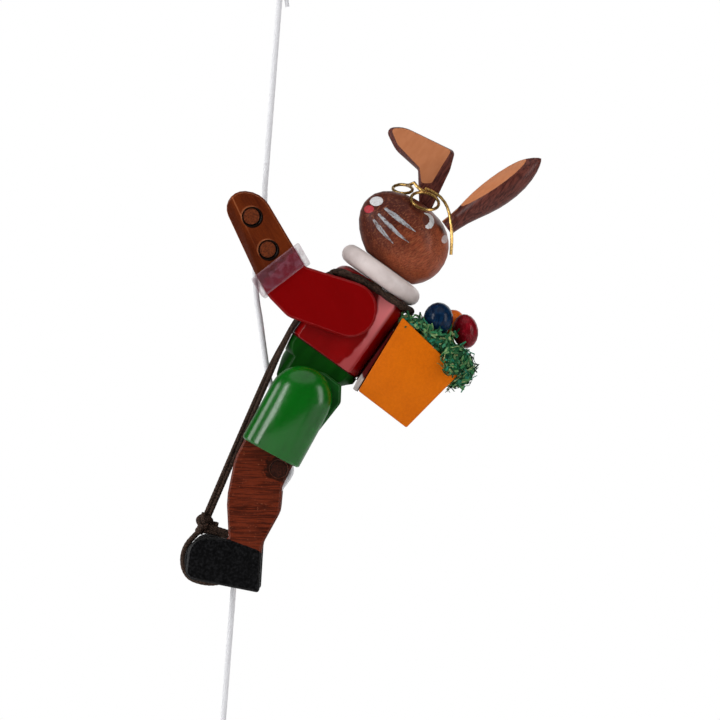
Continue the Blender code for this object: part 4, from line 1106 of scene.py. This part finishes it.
def make_fillings():
    """Glue between jacket and hip block, dark sheets as painted shade between jacket, spacer and basket, and
    glue round the dowels in their holes.
    """
    glue_from = 7.4
    arm_face = 10.4
    leg_face = 11.1
    hem = prism("hem_glue", torso_section(HEM + 0.01, 0.25), torso_section(HEM + 0.24, 0.25))
    film = plain_wood_look("joint_and_shade_film", (0.05, 0.003, 0.002), (0.09, 0.004, 0.003), (1, 0, 0))
    settle(hem, "torso", film)
    out = TORSO_RADIUS
    # Dark sheets in the gaps behind the jacket: painted shade
    for name, corners in (
        ("back_glue", [(9.3, out - 0.05), (25, out - 0.05), (25, out + 0.24), (9.3, out + 0.24)]),
        ("basket_glue", [(9.3, out + 0.4), (27.3, out + 1.74), (27.3, out + 2.04), (9.3, out + 0.7)]),
        ("rim_glue", [(4.5, out - 1), (9.4, out - 0.05), (9.4, out + 0.66), (5.7, out + 0.4)]),
    ):
        near, far = ([torso_point(*corner, across) for corner in corners] for across in (-1.6, 1.6))
        settle(prism(name, near, far), "torso", film)
    hand_glue = glue_look()
    knee_glue = plain_wood_look("knee_glue", (0.016, 0.004, 0.002), (0.04, 0.009, 0.004), (1, 0, 0))
    for side, label in ((-1, "left"), (1, "right")):
        for number, middle in enumerate(HAND_PINS, 1):
            made = ring(f"hand_glue_{label}_{number}", middle, side * glue_from, side * arm_face)
            settle(made, "arms", hand_glue)
        made = ring(f"knee_glue_{label}", KNEE_PIN, side * glue_from, side * leg_face)
        settle(made, "legs", knee_glue)


# Stage and light


def white_light(tree, kind, strength):
    made = tree.nodes.new("ShaderNode" + kind)
    made.inputs["Color"].default_value = (1, 1, 1, 1)
    made.inputs["Strength"].default_value = strength
    return made.outputs[0]


def shader_choice(tree, share, a, b):
    """The first shader where the share is 0, the second where it is 1."""
    mixed = tree.nodes.new("ShaderNodeMixShader")
    for number, source in enumerate((share, a, b)):
        tree.links.new(source, mixed.inputs[number])
    return mixed.outputs[0]


def white_for_rays(tree, plain, rays):
    """A shader that is plain white light for some kinds of ray and the plain shader for the rest."""
    path = tree.nodes.new("ShaderNodeLightPath")
    share = path.outputs[rays[0]]
    for ray in rays[1:]:
        either = tree.nodes.new("ShaderNodeMath")
        either.operation = "MAXIMUM"
        tree.links.new(share, either.inputs[0])
        tree.links.new(path.outputs[ray], either.inputs[1])
        share = either.outputs[0]
    return shader_choice(tree, share, plain, white_light(tree, "Emission", 1))


def make_stage():
    """A pale sweep: floor below the toy, bent up behind it. The camera sees it as plain white."""
    profile = [(-0.7, -0.32)]
    for i in range(13):
        angle = math.radians(90 * i / 12)
        profile.append((2.2 + 0.9 * math.sin(angle), -0.32 + 0.9 * (1 - math.cos(angle))))
    profile.append((3.1, 3.5))
    verts = [(x, y, z) for y, z in profile for x in (-4.5, 4.5)]
    sweep = make_object("sweep", verts, quads(len(profile), 2, closed=False))
    material = bpy.data.materials.new("sweep")
    material.use_nodes = True
    tree = material.node_tree
    surface = tree.nodes["Principled BSDF"]
    surface.inputs["Base Color"].default_value = (0.86, 0.86, 0.86, 1)
    surface.inputs["Roughness"].default_value = 0.9
    shown = white_for_rays(tree, surface.outputs[0], ("Is Camera Ray", "Is Transmission Ray"))
    tree.links.new(shown, tree.nodes["Material Output"].inputs["Surface"])
    sweep.data.materials.append(material)


def area_light(name, place, size, power, shape="RECTANGLE"):
    """A soft box that shines on the toy's middle."""
    data = bpy.data.lights.new(name, "AREA")
    data.shape = shape
    data.size = size[0]
    data.size_y = size[1]
    data.energy = power
    lamp = bpy.data.objects.new(name, data)
    bpy.context.scene.collection.objects.link(lamp)
    lamp.location = place
    ahead = (Vector((0.025, 0, -0.1)) - Vector(place)).normalized()
    across = ahead.cross(Vector((0, 0, 1))).normalized()
    upwards = across.cross(ahead)
    lamp.rotation_euler = Matrix((across, upwards, -ahead)).transposed().to_euler()


def make_light():
    """Tall soft boxes at both sides, a round one above, and a white room that reflections see dimly."""
    world = bpy.data.worlds.new("studio")
    world.use_nodes = True
    bpy.context.scene.world = world
    tree = world.node_tree
    room = tree.nodes["Background"]
    room.inputs["Color"].default_value = (1, 1, 1, 1)
    room.inputs["Strength"].default_value = 0.34
    is_glossy = tree.nodes.new("ShaderNodeLightPath").outputs["Is Glossy Ray"]
    mixed = shader_choice(tree, is_glossy, room.outputs[0], white_light(tree, "Background", 0.04))
    shown = white_for_rays(tree, mixed, ("Is Camera Ray",))
    tree.links.new(shown, tree.nodes["World Output"].inputs["Surface"])
    area_light("key", (-0.95, -0.95, 0.3), (0.26, 0.9), 8.5)
    area_light("left", (-1.35, -0.15, 0.15), (0.45, 1.1), 9.5)
    area_light("right", (1.2, -0.65, 0.15), (0.4, 1.1), 7)
    area_light("top", (0.05, -0.45, 1.3), (1.9, 1.9), 8, "DISK")
    area_light("rim", (0.7, 1.4, 0.6), (1.2, 1.2), 4)
    bpy.context.scene.view_settings.view_transform = "Standard"


def dress_torso():
    jacket_look().on(node["jacket"])
    green = painted_wood(
        "hip_paint", (0.001, 0.03, 0.001), (0.0025, 0.05, 0.002), (0.08, 0.22, 0.08), TORSO_DOWN,
        0.35, 0.12, 0.1,
    )
    green.on(node["hip_block"])
    collar_look().on(node["collar"])
    basket_look().on(node["basket"])
    spacer_look().on(node["basket_spacer"])
    egg_look("egg_blue_paint", (0.001, 0.008, 0.027), (0.003, 0.03, 0.085), 0.012).on(node["egg_blue"])
    egg_look("egg_red_paint", (0.12, 0.001, 0.004), (0.27, 0.005, 0.015), 0.04).on(node["egg_red"])
    egg_look("egg_orange_paint", (0.55, 0.09, 0.002), (0.72, 0.16, 0.006)).on(node["egg_orange"])


def dress_head():
    head_look().on(node["head"])
    up = Vector((-0.651, 0, 0.759))
    face = up * math.cos(math.radians(27)) + Vector((0, -1, 0)) * math.sin(math.radians(27))
    ear_look("ear_left_stain", face, 0.4).on(node["ear_left"])
    ear_look("ear_right_stain", (0, -1, 0), 0.12).on(node["ear_right"])
    brass = brass_look()
    brass.on(node["spectacles"], node["spectacles_temple"])
    close_rings(brass)


def dress_limbs():
    arm_look().on(node["arm_left"], node["arm_right"])
    leg_look().on(node["leg_left"], node["leg_right"])
    shorts = painted_wood(
        "shorts_paint", (0.0005, 0.072, 0.002), (0.001, 0.099, 0.004), (0.2, 0.45, 0.22), (0.41, 0, 0.91),
        0.22, 0.6, 0.4,
    )
    shorts.on(node["shorts_left"], node["shorts_right"])
    black = painted_wood(
        "toe_paint", (0.002, 0.002, 0.0022), (0.004, 0.004, 0.0045), (0.03, 0.03, 0.032), (1, 0, 0),
        0.45, 0.4, 0.1,
    )
    black.on(node["toe_block"])
    hand_pins = pin_look("hand_pin_stain", (0.06, 0.011, 0.0025), (0.145, 0.03, 0.007))
    hand_pins.on(node["hand_pin_upper"], node["hand_pin_lower"])
    pin_look("knee_pin_stain", (0.012, 0.003, 0.0015), (0.05, 0.011, 0.005)).on(node["knee_pin"])
    dowels = plain_wood_look("dowel_wood", (0.42, 0.24, 0.11), (0.6, 0.4, 0.2), (0, 1, 0))
    dowels.on(node["neck_dowel"], node["shoulder_axle"], node["hip_axle"], node["foot_pin"])
    band_look().on(node["wrist_band"])


def dress_cords():
    elastic = cord_look("elastic_yarn", (0.0025, 0.0015, 0.001), (0.068, 0.038, 0.026), 0.3, 0.12)
    string = cord_look("string_yarn", (0.55, 0.55, 0.57), (0.74, 0.74, 0.76))
    for thing in bpy.data.objects:
        if thing.name in node:
            continue
        if thing.name.startswith(("cord_elastic", "elastic_")):
            elastic.on(thing)
        elif thing.name.startswith("cord_"):
            string.on(thing)


make_camera()
smooth_solids()
make_strings()
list(make_string_ends())
make_neck_elastic()
make_strands()
make_foot_elastic()
make_stage()
make_light()
dress_torso()
dress_head()
dress_limbs()
dress_cords()
make_fillings()
make_grass()
paint_face()
